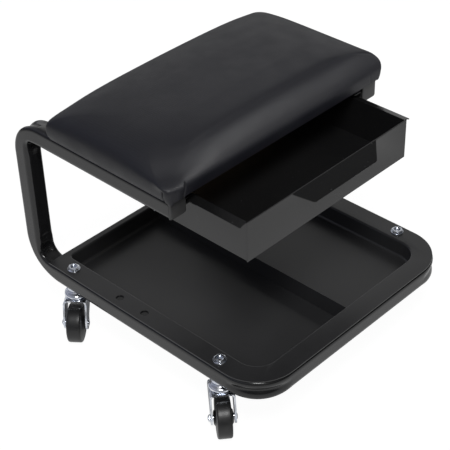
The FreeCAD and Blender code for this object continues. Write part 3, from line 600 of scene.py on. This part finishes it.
def frame_tube():
    """Arm, upright, rail and half of the front rail on the left, then their mirror image."""
    p, q = tube_outline(TUBE_ROUND)
    side, level = q - TUBE_MIDDLE, RAIL_BOTTOM + TUBE / 2 - p
    top = (HALF_DEPTH - TOP_BEND[0], ARM_TOP - TOP_BEND[0])
    low = (HALF_DEPTH - LOW_BEND[0], RAIL_BOTTOM + LOW_BEND[0])
    arm = np.linspace(ARM_END, top[0], 12)[:-1, None]
    upright = np.linspace(top[1], low[1], 8)[1:-1, None]
    rail = np.linspace(low[0], FRONT_BEND - HALF_DEPTH, 14)[1:-1, None]
    front_rail = np.linspace(FRONT_BEND - HALF_WIDTH, 0, 8)[1:, None]

    def straight(x, y, z):
        """Rows of the outline along a straight run; the coordinate that runs is a column of places."""
        return np.stack(np.broadcast_arrays(x, y, z), -1)

    left = np.concatenate([
        straight(side, arm, ARM_TOP - TUBE / 2 + p),
        side_bend(p, q, top, 90, 0, TOP_BEND, 61, TOP_CRUSH),
        straight(side, HALF_DEPTH - TUBE / 2 + p, upright),
        side_bend(p, q, low, 0, -90, LOW_BEND, 73, LOW_CRUSH),
        straight(side, rail, level),
        front_bend(p, q, 61),
        straight(front_rail, q - HALF_DEPTH + TUBE / 2, level),
    ])
    right = left[-2::-1] * np.array([-1, 1, 1])
    whole = shell(np.concatenate([left, right]))
    return piece("frame_tube_skin", [whole], "frame", "frame_paint", ["frame_tube"])


def arm_cap(name, side):
    """A cap on an arm's end: the tube's outline in rings that close over a slight dome."""
    p, q = tube_outline(CAP_ROUND)
    setback, size = CAP_RINGS.T[:, :, None]
    points = np.stack([side * TUBE_MIDDLE + q * size, ARM_FRONT + setback + 0 * p,
                       ARM_TOP - TUBE / 2 + p * size], -1)
    return piece(f"{name}_dome", [shell(points, lids=False)], "frame", "cap_plastic", [name])


# Seat cushion

# Sections from the hem to the crown: height as a share of the rise, then as shares of the edge rounding the
# insets of the sides and back and of the front, and the radii of the back, front right and front left corner
CUSHION_SHARES = np.array([
    (0.000, 0.060, 0.187, 0.090, 0.090, 0.100), (0.130, 0.010, 0.172, 0.090, 0.090, 0.120),
    (0.310, 0.000, 0.175, 0.100, 0.090, 0.170), (0.490, 0.030, 0.270, 0.130, 0.100, 0.300),
    (0.645, 0.110, 0.405, 0.190, 0.120, 0.470), (0.780, 0.255, 0.560, 0.320, 0.200, 0.680),
    (0.880, 0.510, 0.735, 0.560, 0.400, 0.860), (0.960, 1.000, 1.000, 1.000, 0.850, 1.000),
    (1.000, 1.750, 1.750, 0.800, 0.800, 0.900),
])
SECTIONS = 57
LEAST_ROUND = 2.0

# Loops of the hem under the seat, inwards from last to first: inset, corner radius and height above the arms
HEM_LOOPS = np.array([(26.0, 3.0, 2.4), (25.5, 3.0, 0.1), (14.0, 6.0, 0.05), (5.0, 9.0, 0.05),
                      (3.8, 9.6, 0.06)])

# Folds: where the slits run, and how far the cloth steps out, sinks, rolls and swells there
FRONT_FACE = SEAT_HALF[1] - CUSHION_SHARES[2, 2] * SEAT_ROUND
FRONT_PLEAT = 21.5
PLEAT_LEAN = 0.25
LAP_STEP, LAP_SLIT = 2.0, 3.4
SIDE_PLEAT = 8.5
SIDE_STEP, SIDE_SLIT = 1.0, 5.0
ROLL, ROLL_HEIGHT, ROLL_SPREAD = 2.2, 19.5, 6.0
CORNER_SWELL = 0.7
TIGHT_SHARE = 0.08

# Crown: its lift in the middle, its bow across, its dome, and how far corners are drawn down
CROWN_LIFT, CROWN_BOW, CROWN_DOME = 3.4, 4.4, 1.2
BACK_DRAW, LEFT_DRAW = 5.0, 9.0

# Front corners: the right one is fuller and squarer, the left one hangs lower
RIGHT_FULLNESS = 0.32
RIGHT_SQUARE = 2.0
LEFT_HANG = 2.6

# The place across a corner that is given to points on the sides, far beyond any corner's own -1 to 1
OFF_CORNER = 9.0


def crowded(count, fine_count, fine_share):
    """Places along a side from 0 up to 1, crowded together in a share of it at each end."""
    return np.concatenate([np.linspace(0, fine_share, fine_count, endpoint=False),
                           np.linspace(fine_share, 1 - fine_share, count, endpoint=False),
                           np.linspace(1 - fine_share, 1, fine_count, endpoint=False)])


def loop_round(half, radius):
    """Points of rectangles with rounded corners, one row per size: sides and arcs keep their point counts.

    The radius has a column for each corner, from the front right one round to the front left one.
    Returns x and y, the outward direction, and for each point its place across the nearest corner, -1 to 1.
    """
    long_places, short_places, arc_count = crowded(40, 44, 0.11), crowded(24, 40, 0.16), 15
    sides = ((long_places, 1, -1), (short_places, 1, 1), (long_places, -1, 1), (short_places, -1, -1))
    runs = []
    for k, (places, sx, sy) in enumerate(sides):
        before = np.array([-sx, sy] if k % 2 == 0 else [sx, -sy])
        last, here = radius[:, k - 1, None], radius[:, k, None]
        turn = math.pi / 2 * (k - 1)
        normal = np.array([round(math.cos(turn)), round(math.sin(turn))])
        first, centre = (half - last) * before + last * normal, (half - here) * np.array([sx, sy])
        straight = first[:, None] * (1 - places)[None, :, None]
        straight = straight + (centre + here * normal)[:, None] * places[None, :, None]
        way = turn + np.linspace(0, math.pi / 2, arc_count, endpoint=False)
        out = np.stack([np.cos(way), np.sin(way)], -1)
        arc = centre[:, None] + out[None] * here[:, None]
        count = len(places)
        runs.append((straight, np.broadcast_to(normal, (count, 2)), np.full(count, OFF_CORNER)))
        runs.append((arc, out, np.linspace(-1, 1, arc_count, endpoint=False)))
    spots, ways, corners = zip(*runs)
    return np.concatenate(spots, 1), np.concatenate(ways), np.concatenate(corners)


def eased_rows(table, count):
    """The table's columns at evenly spread rows: a Catmull-Rom curve through its rows."""
    place = np.linspace(0, len(table) - 1, count)
    k = np.minimum(place.astype(int), len(table) - 2)
    t = (place - k)[:, None]
    padded = np.concatenate([2 * table[:1] - table[1:2], table, 2 * table[-1:] - table[-2:-1]])
    a, b, c, d = padded[k], padded[k + 1], padded[k + 2], padded[k + 3]
    return 0.5 * (2 * b + (c - a) * t + (2 * a - 5 * b + 4 * c - d) * t ** 2
                  + (3 * b - a - 3 * c + d) * t ** 3)


def corner_folds(spots, out, corner, rise):
    """How far the cover stands out where it is folded round the front corners, by height above the hem.

    On the front the cloth laps over itself: a step that falls into a narrow slit, then the plain face.
    On the side a slit runs up from the hem, and the corner between the two slits swells into a roll.
    The left corner is folded deep, the right one is drawn tight. Spans are in millimetres.
    """
    x, y = spots[..., 0], spots[..., 1]
    depth = np.where(x < 0, 1.0, TIGHT_SHARE) * (y < 0)
    lap = np.abs(x) - (SEAT_HALF[0] - FRONT_PLEAT - PLEAT_LEAN * (rise - 10))
    lapped = smooth(rise, -2, 2) * (1 - smooth(rise, 11, 21)) * np.abs(out[:, 1])
    front = LAP_STEP * smooth(lap, -0.8, 0.8) * (1 - smooth(lap, 5, 20)) - LAP_SLIT * bell(lap, -1.4, 1.2)
    slit = -y - (FRONT_FACE - SIDE_PLEAT)
    slitted = (1 - smooth(rise, 10, 16)) * np.abs(out[:, 0])
    side = SIDE_STEP * smooth(slit, -0.6, 0.6) * (1 - smooth(slit, 3, 9)) - SIDE_SLIT * bell(slit, -1.1, 0.9)
    roll = ROLL * bell(rise, ROLL_HEIGHT, ROLL_SPREAD)
    roll = roll * (1 - smooth(SEAT_HALF[0] - np.abs(x), 14, 34)) * (1 - smooth(SEAT_HALF[1] + y, 16, 34))
    swell = CORNER_SWELL * bell(corner, 0.0, 0.5) * (1 - smooth(rise, 14, 30))
    return depth * (lapped * front + slitted * side + roll + swell)


def crown_rise(x, y):
    """The crown's lift: a bow across the seat, a slight dome and corners that are drawn down."""
    across, along = np.clip(x / SEAT_HALF[0], -1, 1), np.clip(y / SEAT_HALF[1], -1, 1)
    side, end = SEAT_HALF[0] - np.abs(x), SEAT_HALF[1] - np.abs(y)
    back = BACK_DRAW * bell(side, 0.0, 48.0) * bell(end, 0.0, 36.0)
    left = LEFT_DRAW * bell(side, 0.0, 66.0) * bell(end, 16.0, 42.0)
    drawn = np.where(y > 0, back, np.where(x < 0, left, 0.0))
    dome = CROWN_DOME * (1 - across ** 2) * (1 - along ** 2)
    return CROWN_LIFT - CROWN_BOW * across ** 2 + dome - drawn


def placed(spots, height):
    """Points of the seat from their places about its middle and their heights."""
    return np.stack([spots[..., 0], spots[..., 1] + SEAT_MIDDLE, height + 0 * spots[..., 0]], -1)


def seat_cushion():
    """Rounded rectangles stacked from the hem to the crown, then shrunk to the middle.

    The front leans back above its hem band, less so at its right end, which is squarer. The cover is folded
    at the front corners, and the left one hangs lower.
    """
    share, inset, front_inset, *radii = eased_rows(CUSHION_SHARES, SECTIONS).T
    inset, front_inset = inset * SEAT_ROUND, front_inset * SEAT_ROUND
    back_round, right_round, left_round = radii
    radius = np.stack([right_round, back_round, back_round, left_round], 1) * SEAT_ROUND
    radius = np.maximum(radius, LEAST_ROUND)
    half = SEAT_HALF[None] - inset[:, None]
    spots, out, corner = loop_round(half, radius)
    rise = share[:, None] * SEAT_RISE
    forward = smooth(-spots[..., 1] / (half[:, 1] - radius[:, 0])[:, None], 0.5, 1.0)
    full = RIGHT_FULLNESS * smooth(spots[..., 0] / SEAT_HALF[0], 0.40, 1.00)
    leaning = (front_inset - front_inset[0])[:, None] * (1 - full) + (front_inset[0] - inset)[:, None]
    spots[..., 1] += leaning * forward
    square = RIGHT_SQUARE * bell(corner, 0.0, 0.6) * (out[:, 0] > 0) * (out[:, 1] < 0)
    spots = spots + out[None] * (square * smooth(rise, 8, 26) * (1 - smooth(rise, 38, 45)))[..., None]
    spots = spots + out[None] * corner_folds(spots, out, corner, rise)[..., None]
    upper = smooth(share, 0.30, 0.85)[:, None]
    at_left = (out[:, 1] < 0.02) * (out[:, 0] < 0.02)
    hang = LEFT_HANG * bell(corner, 0.0, 0.8) * at_left * (1 - smooth(rise, 2, 9))
    side = placed(spots, SEAT_FOOT + rise + crown_rise(spots[..., 0], spots[..., 1]) * upper - hang)

    top = spots[-1:] * np.linspace(1, 0, 16)[1:, None, None]
    crown = placed(top, SEAT_FOOT + SEAT_RISE + crown_rise(top[..., 0], top[..., 1]))

    hem_inset, hem_round, hem_height = HEM_LOOPS.T[:, :, None]
    hem, _, _ = loop_round(SEAT_HALF[None] - hem_inset, hem_round * np.ones(4))
    hem[..., 1] += (front_inset - inset)[0] * smooth(-hem[..., 1] / SEAT_HALF[1], 0.45, 0.85)
    under = placed(hem, ARM_TOP + hem_height)

    points, faces = shell(np.concatenate([under, side, crown]), lids=False)
    faces.append(list(range(under.shape[1]))[::-1])
    cushion = piece("seat_cushion", [(points, faces)], "frame", "seat_vinyl", ["seat_cover", "seat_foam"],
                    SEAT_SHARP_ANGLE)
    return cushion


# Casters

# Profiles as (radius, height): the stem from its pin's head up to the thread, half the wheel from its bore
# to the middle of its tread, and the axle bolt from its head
STEM_PROFILE = np.array([
    (0, 51.4), (5.6, 51.4), (6.6, 51.8), (7.0, 52.6), (7.0, 53.6), (4.0, 53.6), (4.0, 61.6), (13.6, 61.6),
    (13.6, 59.2), (13.8, 59.0), (14.8, 59.0), (15.0, 59.3), (15.0, 60.6), (14.7, 61.8), (13.9, 62.9),
    (12.6, 63.7), (11.0, 64.4), (10.0, 65.4), (9.4, 66.6), (9.2, 67.6), (9.2, 69.4), (8.8, 69.6),
    (4.0, 69.6), (4.0, 96.2),
])
STEM_END = np.array([(3.2, 97.7), (0, 97.7)])
THREAD_SPAN = (96.4, 97.4)
THREAD_RADIUS, THREAD_DEPTH, THREAD_POINTS = 3.95, 0.28, 7
WHEEL_PROFILE = np.array([
    (4.1, 11.1), (4.4, 11.4), (6.6, 11.5), (7.8, 11.3), (8.6, 10.7), (9.4, 10.0), (10.4, 9.6), (13.0, 9.35),
    (16.4, 9.15), (19.0, 9.0), (21.4, 8.9), (23.0, 8.75), (23.9, 8.45), (24.5, 7.95), (24.85, 7.2),
    (25.0, 6.2), (25.0, 3.0), (25.0, 0.6),
])
BOLT_PROFILE = np.array([
    (0, -1.6), (2.2, -1.5), (3.4, -1.1), (4.0, -0.5), (4.1, -0.1), (4.1, 0.0), (2.5, 0.0), (2.5, 32.5),
    (2.1, 32.9), (0, 32.9),
])

# Lock nuts: how far the corner cones start within the flats and end past the corners, the mouth's flare, and
# the collar's places in from its outer wall and up from the nut's top as shares of its rise
NUT_FOOT_INSET, NUT_HEAD_INSET, NUT_CONE_PAST, NUT_MOUTH = 0.2, 0.4, 0.1, 0.7
COLLAR_SHARES = np.array([(0.0, 0.0), (0.0, 0.6), (-0.15, 0.9), (-0.45, 1.0)])


def hex_radius(angle, across):
    """A hexagon's radius by angle, from its width across the flats."""
    return across / 2 / np.cos((angle + math.pi / 6) % (math.pi / 3) - math.pi / 6)


def lock_nut(across, height, bore, collar, rise, chamfer):
    """A nut about the vertical axis that ends in a round locking collar.

    Each row of its flats is the smaller of the hexagon and a cone that cuts the hexagon's corners.
    """
    angle = np.linspace(0, TURN, 96, endpoint=False)
    flat, hole = across / 2, bore / 2
    cone = across / math.sqrt(3) + NUT_CONE_PAST
    base = np.array([(hole, 0.0), (flat - NUT_FOOT_INSET, 0.0)])
    foot = np.linspace((flat - NUT_FOOT_INSET, 0.0), (cone, chamfer), 5)
    head = np.linspace((cone, height - chamfer), (flat - NUT_HEAD_INSET, height), 5)
    ring = COLLAR_SHARES * rise + np.array([collar / 2, height])
    mouth = np.array([(hole + NUT_MOUTH, height + 0.9 * rise), (hole, height + 0.5 * rise)])
    profile = np.concatenate([base, foot, head, ring, mouth])
    row = np.arange(len(profile))[:, None]
    hexed = (row >= len(base)) & (row < len(base) + len(foot) + len(head))
    limit, level = profile[:, :1], profile[:, 1:]
    radius = np.where(hexed, np.minimum(limit, hex_radius(angle, across)), limit)
    return np.stack([radius * np.cos(angle), radius * np.sin(angle), level + 0 * angle], -1)


def caster_stem():
    """The raceway cup, collar and threaded stem as one turned profile, with the pin's head below."""
    radius = THREAD_RADIUS - THREAD_DEPTH * (np.arange(THREAD_POINTS) % 2)
    thread = np.stack([radius, np.linspace(*THREAD_SPAN, THREAD_POINTS)], 1)
    return lathe(np.concatenate([STEM_PROFILE, thread, STEM_END]), segments=64)


def caster_fork():
    """A sheet bent to an upside-down U: its rows run down one leg, over the crown and down the other.

    Its columns run from the front edge to the back edge, which close in to the round eye at the axle.
    """
    bend = FORK_TOP - FORK_SHOULDER
    inset = FORK_OUTSIDE - FORK_SHOULDER
    quarter = np.linspace(0, math.pi / 2, 14)
    down = np.concatenate([AXLE_HEIGHT - FORK_EYE + FORK_EYE * (1 - np.cos(quarter)),
                           np.linspace(AXLE_HEIGHT, bend, 12)[1:]])
    turn = np.linspace(0, math.pi / 2, 8)[1:]
    flat = np.linspace(-inset, 0, 6)[1:]

    def path(offset):
        """x and z along the bent sheet, offset inwards from its outer face."""
        radius = FORK_SHOULDER - offset
        x = np.concatenate([np.full(len(down), offset - FORK_OUTSIDE), -inset - radius * np.cos(turn), flat])
        z = np.concatenate([down, bend + radius * np.sin(turn), np.full(len(flat), FORK_TOP - offset)])
        return np.concatenate([x, -x[-2::-1]]), np.concatenate([z, z[-2::-1]])

    x_out, z_out = path(0.0)
    x_in, z_in = path(FORK_SHEET)
    waist = smooth(z_out, AXLE_HEIGHT, FORK_TOP)
    eye_half = np.sqrt(np.maximum(FORK_EYE ** 2 - np.minimum(z_out - AXLE_HEIGHT, 0) ** 2, 0.04))
    crown = np.clip((FORK_OUTSIDE - np.abs(x_out)) / FORK_SHOULDER, 0, 1)
    front, back = TRAIL - eye_half, TRAIL + eye_half
    front = front + (FORK_FRONT - front) * waist - FORK_TUCK * crown
    back = back + (FORK_BACK - back) * waist - FORK_TUCK * crown
    t = np.concatenate([np.linspace(0, 0.12, 6), np.linspace(0.12, 0.88, 12)[1:-1], np.linspace(0.88, 1, 6)])
    y = front[:, None] + (back - front)[:, None] * t
    lip = FORK_FRONT_LIP * (1 - smooth(t, 0.0, 0.16)) + FORK_BACK_LIP * smooth(t, 0.9, 1.0)
    drop = lip[None] * smooth(crown, 0.15, 1.0)[:, None]
    outer, inner = (np.stack([x[:, None] + 0 * y, y, z[:, None] - drop], -1)
                    for x, z in ((x_out, z_out), (x_in, z_in)))
    return np.concatenate([outer, inner[:, ::-1]], 1)


def caster_wheel():
    """A turned wheel: nearly flat sides, a hub that stands out, and a flat tread with rounded edges."""
    profile = np.concatenate([WHEEL_PROFILE, WHEEL_PROFILE[::-1] * np.array([1, -1])])
    return on_axle(lathe(profile, segments=80))


def axle_pieces():
    """The bolt with its domed head on one side, the nut on the other, and the sleeve between the legs."""
    low, high = -FORK_INSIDE, FORK_INSIDE
    sleeve = rounded([(2.6, low), (4.0, low), (4.0, high), (2.6, high)], radius=0.25, steps=3)
    nut = lock_nut(across=8.0, height=1.9, bore=5.2, collar=7.0, rise=0.7, chamfer=0.4)
    return {
        "axle_bolt": shell(on_axle(lathe(BOLT_PROFILE, segments=48), -FORK_OUTSIDE), lids=False),
        "axle_nut": shell(on_axle(nut, FORK_OUTSIDE), ring=True),
        "axle_sleeve": shell(on_axle(lathe(sleeve, segments=40)), ring=True),
    }


def casters():
    """Each caster's pieces, turned to their corner, and the nuts and washers above the tray."""
    forms = {
        "caster_stem": (shell(caster_stem(), lids=False), "frame", "zinc"),
        "caster_fork": (shell(caster_fork()), "caster", "zinc"),
        "wheel": (shell(caster_wheel(), ring=True), "wheel", "wheel_rubber"),
    }
    for name, form in axle_pieces().items():
        forms[name] = (form, "caster", "zinc")
    for corner in CORNERS:
        for name, ((points, faces), body, slot) in forms.items():
            node = f"{name}_{corner}"
            rides = body if body == "frame" else f"{body}_{corner}"
            piece(f"{node}_made", [(at_caster(points, corner), faces)], rides, slot, [node])
    nut = lock_nut(across=13.0, height=2.3, bore=8.1, collar=11.4, rise=0.6, chamfer=0.5)
    disc = rounded([(4.1, 0.0), (8.0, 0.0), (8.0, WASHER), (4.1, WASHER)], radius=0.35, steps=4)

    def stacked(points, height):
        """The same ring above the tray at all four corners."""
        raised = points + np.array([0, 0, FLANGE_TOP + height])
        return [shell(at_caster(raised, corner), ring=True) for corner in CORNERS]

    piece("stem_nuts", stacked(nut, WASHER), "frame", "zinc", ["caster_lock_nuts"], NUT_SHARP_ANGLE)
    washers = stacked(lathe(disc, segments=56), 0.0)
    piece("stem_washers", washers, "frame", "zinc", ["caster_washers"])


# Build

frame_tube()
arm_cap("arm_cap_left", -1)
arm_cap("arm_cap_right", 1)
seat_cushion()
casters()
eased("tray_pressed", "tray", TRAY_EASE)
eased("tray_divider_folded", "tray_divider", DIVIDER_EASE)
eased("drawer_box_folded", "drawer_box", BOX_EASE, form=leaning_lip)
eased("drawer_front_folded", "drawer_front", PANEL_EASE)
for name in ("runner_left", "runner_right"):
    eased(f"{name}_folded", name, RUNNER_EASE)
for name, node in nodes.items():
    if not node.hide_render:
        node.data.materials.clear()
        node.data.materials.append(finishes[slot_of[name]])


# Studio

# Floor, in metres: its reach, and the patch that reflections see, a painted pool of light as greys by
# distance over the patch's reach. Under the stool the patch is dark, a painted shadow, by distance from the
# middle as half a share of the frame's reach.
FLOOR_HALF = 8.0
FLOOR_TONE = 0.86
PATCH_MIDDLE = (-0.06, 0.05, 0.0)
PATCH_REACH = 2.0
PAINTED_POOL_STOPS = ((0.12, 0.74), (0.2, 0.71), (0.38, 0.58), (0.65, 0.28), (1.0, 0.10))
PAINTED_SHADOW_STOPS = ((0.42, 0.15), (0.55, 1.0))
PATCH_STRENGTH = 1.12
PLAIN_SHARE = 0.86
MIRRORED_SHARE = 0.9

# World: greys from back left to front right, greys by height, the backdrop's bright foot, the blue glow
SIDE_REACH = 1.4
SIDE_STOPS = ((0.0, 0.45), (0.2, 0.55), (0.44, 0.72), (0.53, 1.15), (0.60, 1.10), (0.72, 0.45), (0.9, 0.20))
HEIGHT_STOPS = ((0.0, 0.05), (0.12, 0.08), (0.24, 0.20), (0.36, 0.48), (0.5, 0.60), (0.6, 0.52),
                (0.75, 0.26), (1.0, 0.20))
REAR_STOPS = ((0.5, 0.0), (0.8, 1.0))
FOOT_STOPS = ((0.02, 0.0), (0.06, 0.60), (0.28, 0.60), (0.42, 0.0))
BLUE_STOPS = ((0.05, (0.10, 0.11, 0.17)), (0.22, (0.06, 0.066, 0.10)), (0.38, 0.0))

# Camera fitted to the photograph: place in metres, direction, and lens in millimetres on a full-frame sensor
CAMERA_PLACE = (-0.9270, -0.8961, 1.0777)
CAMERA_AZIMUTH, CAMERA_ELEVATION, CAMERA_ROLL = math.radians(-45.33), math.radians(36.17), -0.03199
CAMERA_LENS = 103.53
SENSOR_WIDTH = 36.0
CAMERA_CLIP = (0.05, 50.0)
LAMP_AIM = Vector((0.0, 0.0, 0.2))


def pale_floor():
    """A wide white floor, mostly plain to the camera so that a soft shadow stays.

    Reflections see it as a painted pool of light that fades with distance from the stool, with a painted
    shadow under it.
    """
    mesh = bpy.data.meshes.new("studio_floor")
    corners = [(x * FLOOR_HALF, y * FLOOR_HALF, 0) for x, y in ((-1, -1), (1, -1), (1, 1), (-1, 1))]
    mesh.from_pydata(corners, [], [(0, 1, 2, 3)])
    floor = bpy.data.objects.new("studio_floor", mesh)
    bpy.context.scene.collection.objects.link(floor)
    material = bpy.data.materials.new("studio_floor")
    material.use_nodes = True
    tree = material.node_tree
    tree.nodes.clear()
    path = wire(tree, "ShaderNodeLightPath").outputs
    spot = wire(tree, "ShaderNodeTexCoord").outputs["Object"]
    away = wire(tree, "ShaderNodeVectorMath", {0: spot, 1: PATCH_MIDDLE}, operation="DISTANCE")
    # A painted pool of light, seen only by reflections, that fades with distance from the stool
    patch = ramp(tree, spread(tree, away.outputs["Value"], (0.0, PATCH_REACH)), PAINTED_POOL_STOPS)
    part = wire(tree, "ShaderNodeSeparateXYZ", {0: spot}).outputs
    across, along = (arithmetic(tree, "DIVIDE", arithmetic(tree, "ABSOLUTE", part[axis]), reach * MM)
                     for axis, reach in (("X", HALF_WIDTH), ("Y", HALF_DEPTH)))
    middle = arithmetic(tree, "MULTIPLY", arithmetic(tree, "MAXIMUM", across, along), 0.5)
    # A painted shadow under the stool, seen only by reflections
    patch = combined(tree, "MULTIPLY", patch, ramp(tree, middle, PAINTED_SHADOW_STOPS))
    shown = mixed_colour(tree, path["Is Camera Ray"], patch, grey(1.0))
    matt = wire(tree, "ShaderNodeBsdfDiffuse", {"Color": grey(FLOOR_TONE)})
    plain = wire(tree, "ShaderNodeEmission", {"Color": shown, "Strength": PATCH_STRENGTH})
    seen = arithmetic(tree, "MULTIPLY", path["Is Camera Ray"], PLAIN_SHARE)
    mirrored = arithmetic(tree, "MULTIPLY", path["Is Glossy Ray"], MIRRORED_SHARE)
    share = arithmetic(tree, "MAXIMUM", seen, mirrored)
    both = wire(tree, "ShaderNodeMixShader", {"Fac": share, 1: matt.outputs[0], 2: plain.outputs[0]})
    wire(tree, "ShaderNodeOutputMaterial", {"Surface": both.outputs[0]})
    mesh.materials.append(material)


def studio_world():
    """Light from all round: a pale backdrop behind the stool, a dark horizon and front, white to the camera.

    The foot of the backdrop is bright at the rear, and the left side has a faint blue glow.
    """
    world = bpy.data.worlds.new("studio")
    bpy.context.scene.world = world
    world.use_nodes = True
    tree = world.node_tree
    tree.nodes.clear()
    spot = wire(tree, "ShaderNodeTexCoord").outputs["Generated"]
    way = wire(tree, "ShaderNodeSeparateXYZ", {0: spot}).outputs
    aside = arithmetic(tree, "SUBTRACT", way["X"], way["Y"])
    turned = spread(tree, aside, (-SIDE_REACH, SIDE_REACH))
    colour = combined(tree, "MULTIPLY", ramp(tree, turned, SIDE_STOPS), ramp(tree, way["Z"], HEIGHT_STOPS))
    rear = spread(tree, arithmetic(tree, "ADD", way["X"], way["Y"]), (0.0, SIDE_REACH))
    foot = combined(tree, "MULTIPLY", ramp(tree, rear, REAR_STOPS), ramp(tree, way["Z"], FOOT_STOPS))
    for glow in (foot, ramp(tree, turned, BLUE_STOPS)):
        colour = combined(tree, "ADD", colour, glow)
    seen = wire(tree, "ShaderNodeLightPath").outputs["Is Camera Ray"]
    shown = mixed_colour(tree, seen, colour, grey(1.0))
    light = wire(tree, "ShaderNodeBackground", {"Color": shown, "Strength": 1.0})
    wire(tree, "ShaderNodeOutputWorld", {"Surface": light.outputs[0]})


def soft_box(name, place, size, power, lit=()):
    """A square soft lamp that faces the stool; where pieces are named, it lights only those."""
    lamp = bpy.data.lights.new(name, "AREA")
    lamp.shape = "SQUARE"
    lamp.size = size
    lamp.energy = power
    item = bpy.data.objects.new(name, lamp)
    bpy.context.scene.collection.objects.link(item)
    item.location = place
    item.rotation_euler = (item.location - LAMP_AIM).to_track_quat("Z", "Y").to_euler()
    if lit:
        item.light_linking.receiver_collection = bpy.data.collections.new(f"{name}_lit")
        for piece_name in lit:
            item.light_linking.receiver_collection.objects.link(bpy.data.objects[piece_name])


def photo_camera():
    """The camera fitted to the photograph: it looks against the back direction and is rolled about it."""
    level = math.cos(CAMERA_ELEVATION)
    back = np.array([math.sin(CAMERA_AZIMUTH) * level, -math.cos(CAMERA_AZIMUTH) * level,
                     math.sin(CAMERA_ELEVATION)])
    right = np.array([math.cos(CAMERA_AZIMUTH), math.sin(CAMERA_AZIMUTH), 0.0])
    up = np.cross(back, right)
    c, s = math.cos(CAMERA_ROLL), math.sin(CAMERA_ROLL)
    turn = np.eye(4)
    turn[:3] = np.stack([right * c + up * s, up * c - right * s, back, CAMERA_PLACE], 1)
    camera = bpy.data.cameras.new("photo_camera")
    camera.sensor_width = SENSOR_WIDTH
    camera.lens = CAMERA_LENS
    camera.clip_start, camera.clip_end = CAMERA_CLIP
    item = bpy.data.objects.new("photo_camera", camera)
    bpy.context.scene.collection.objects.link(item)
    item.matrix_world = Matrix(turn.tolist())
    bpy.context.scene.camera = item


pale_floor()
studio_world()
photo_camera()
soft_box("key_box", place=(-0.95, -0.95, 2.1), size=0.7, power=26.0)
soft_box("right_box", place=(0.31, -0.74, 0.78), size=0.34, power=3.4, lit=["seat_cushion"])
bpy.context.scene.view_settings.view_transform = "Standard"
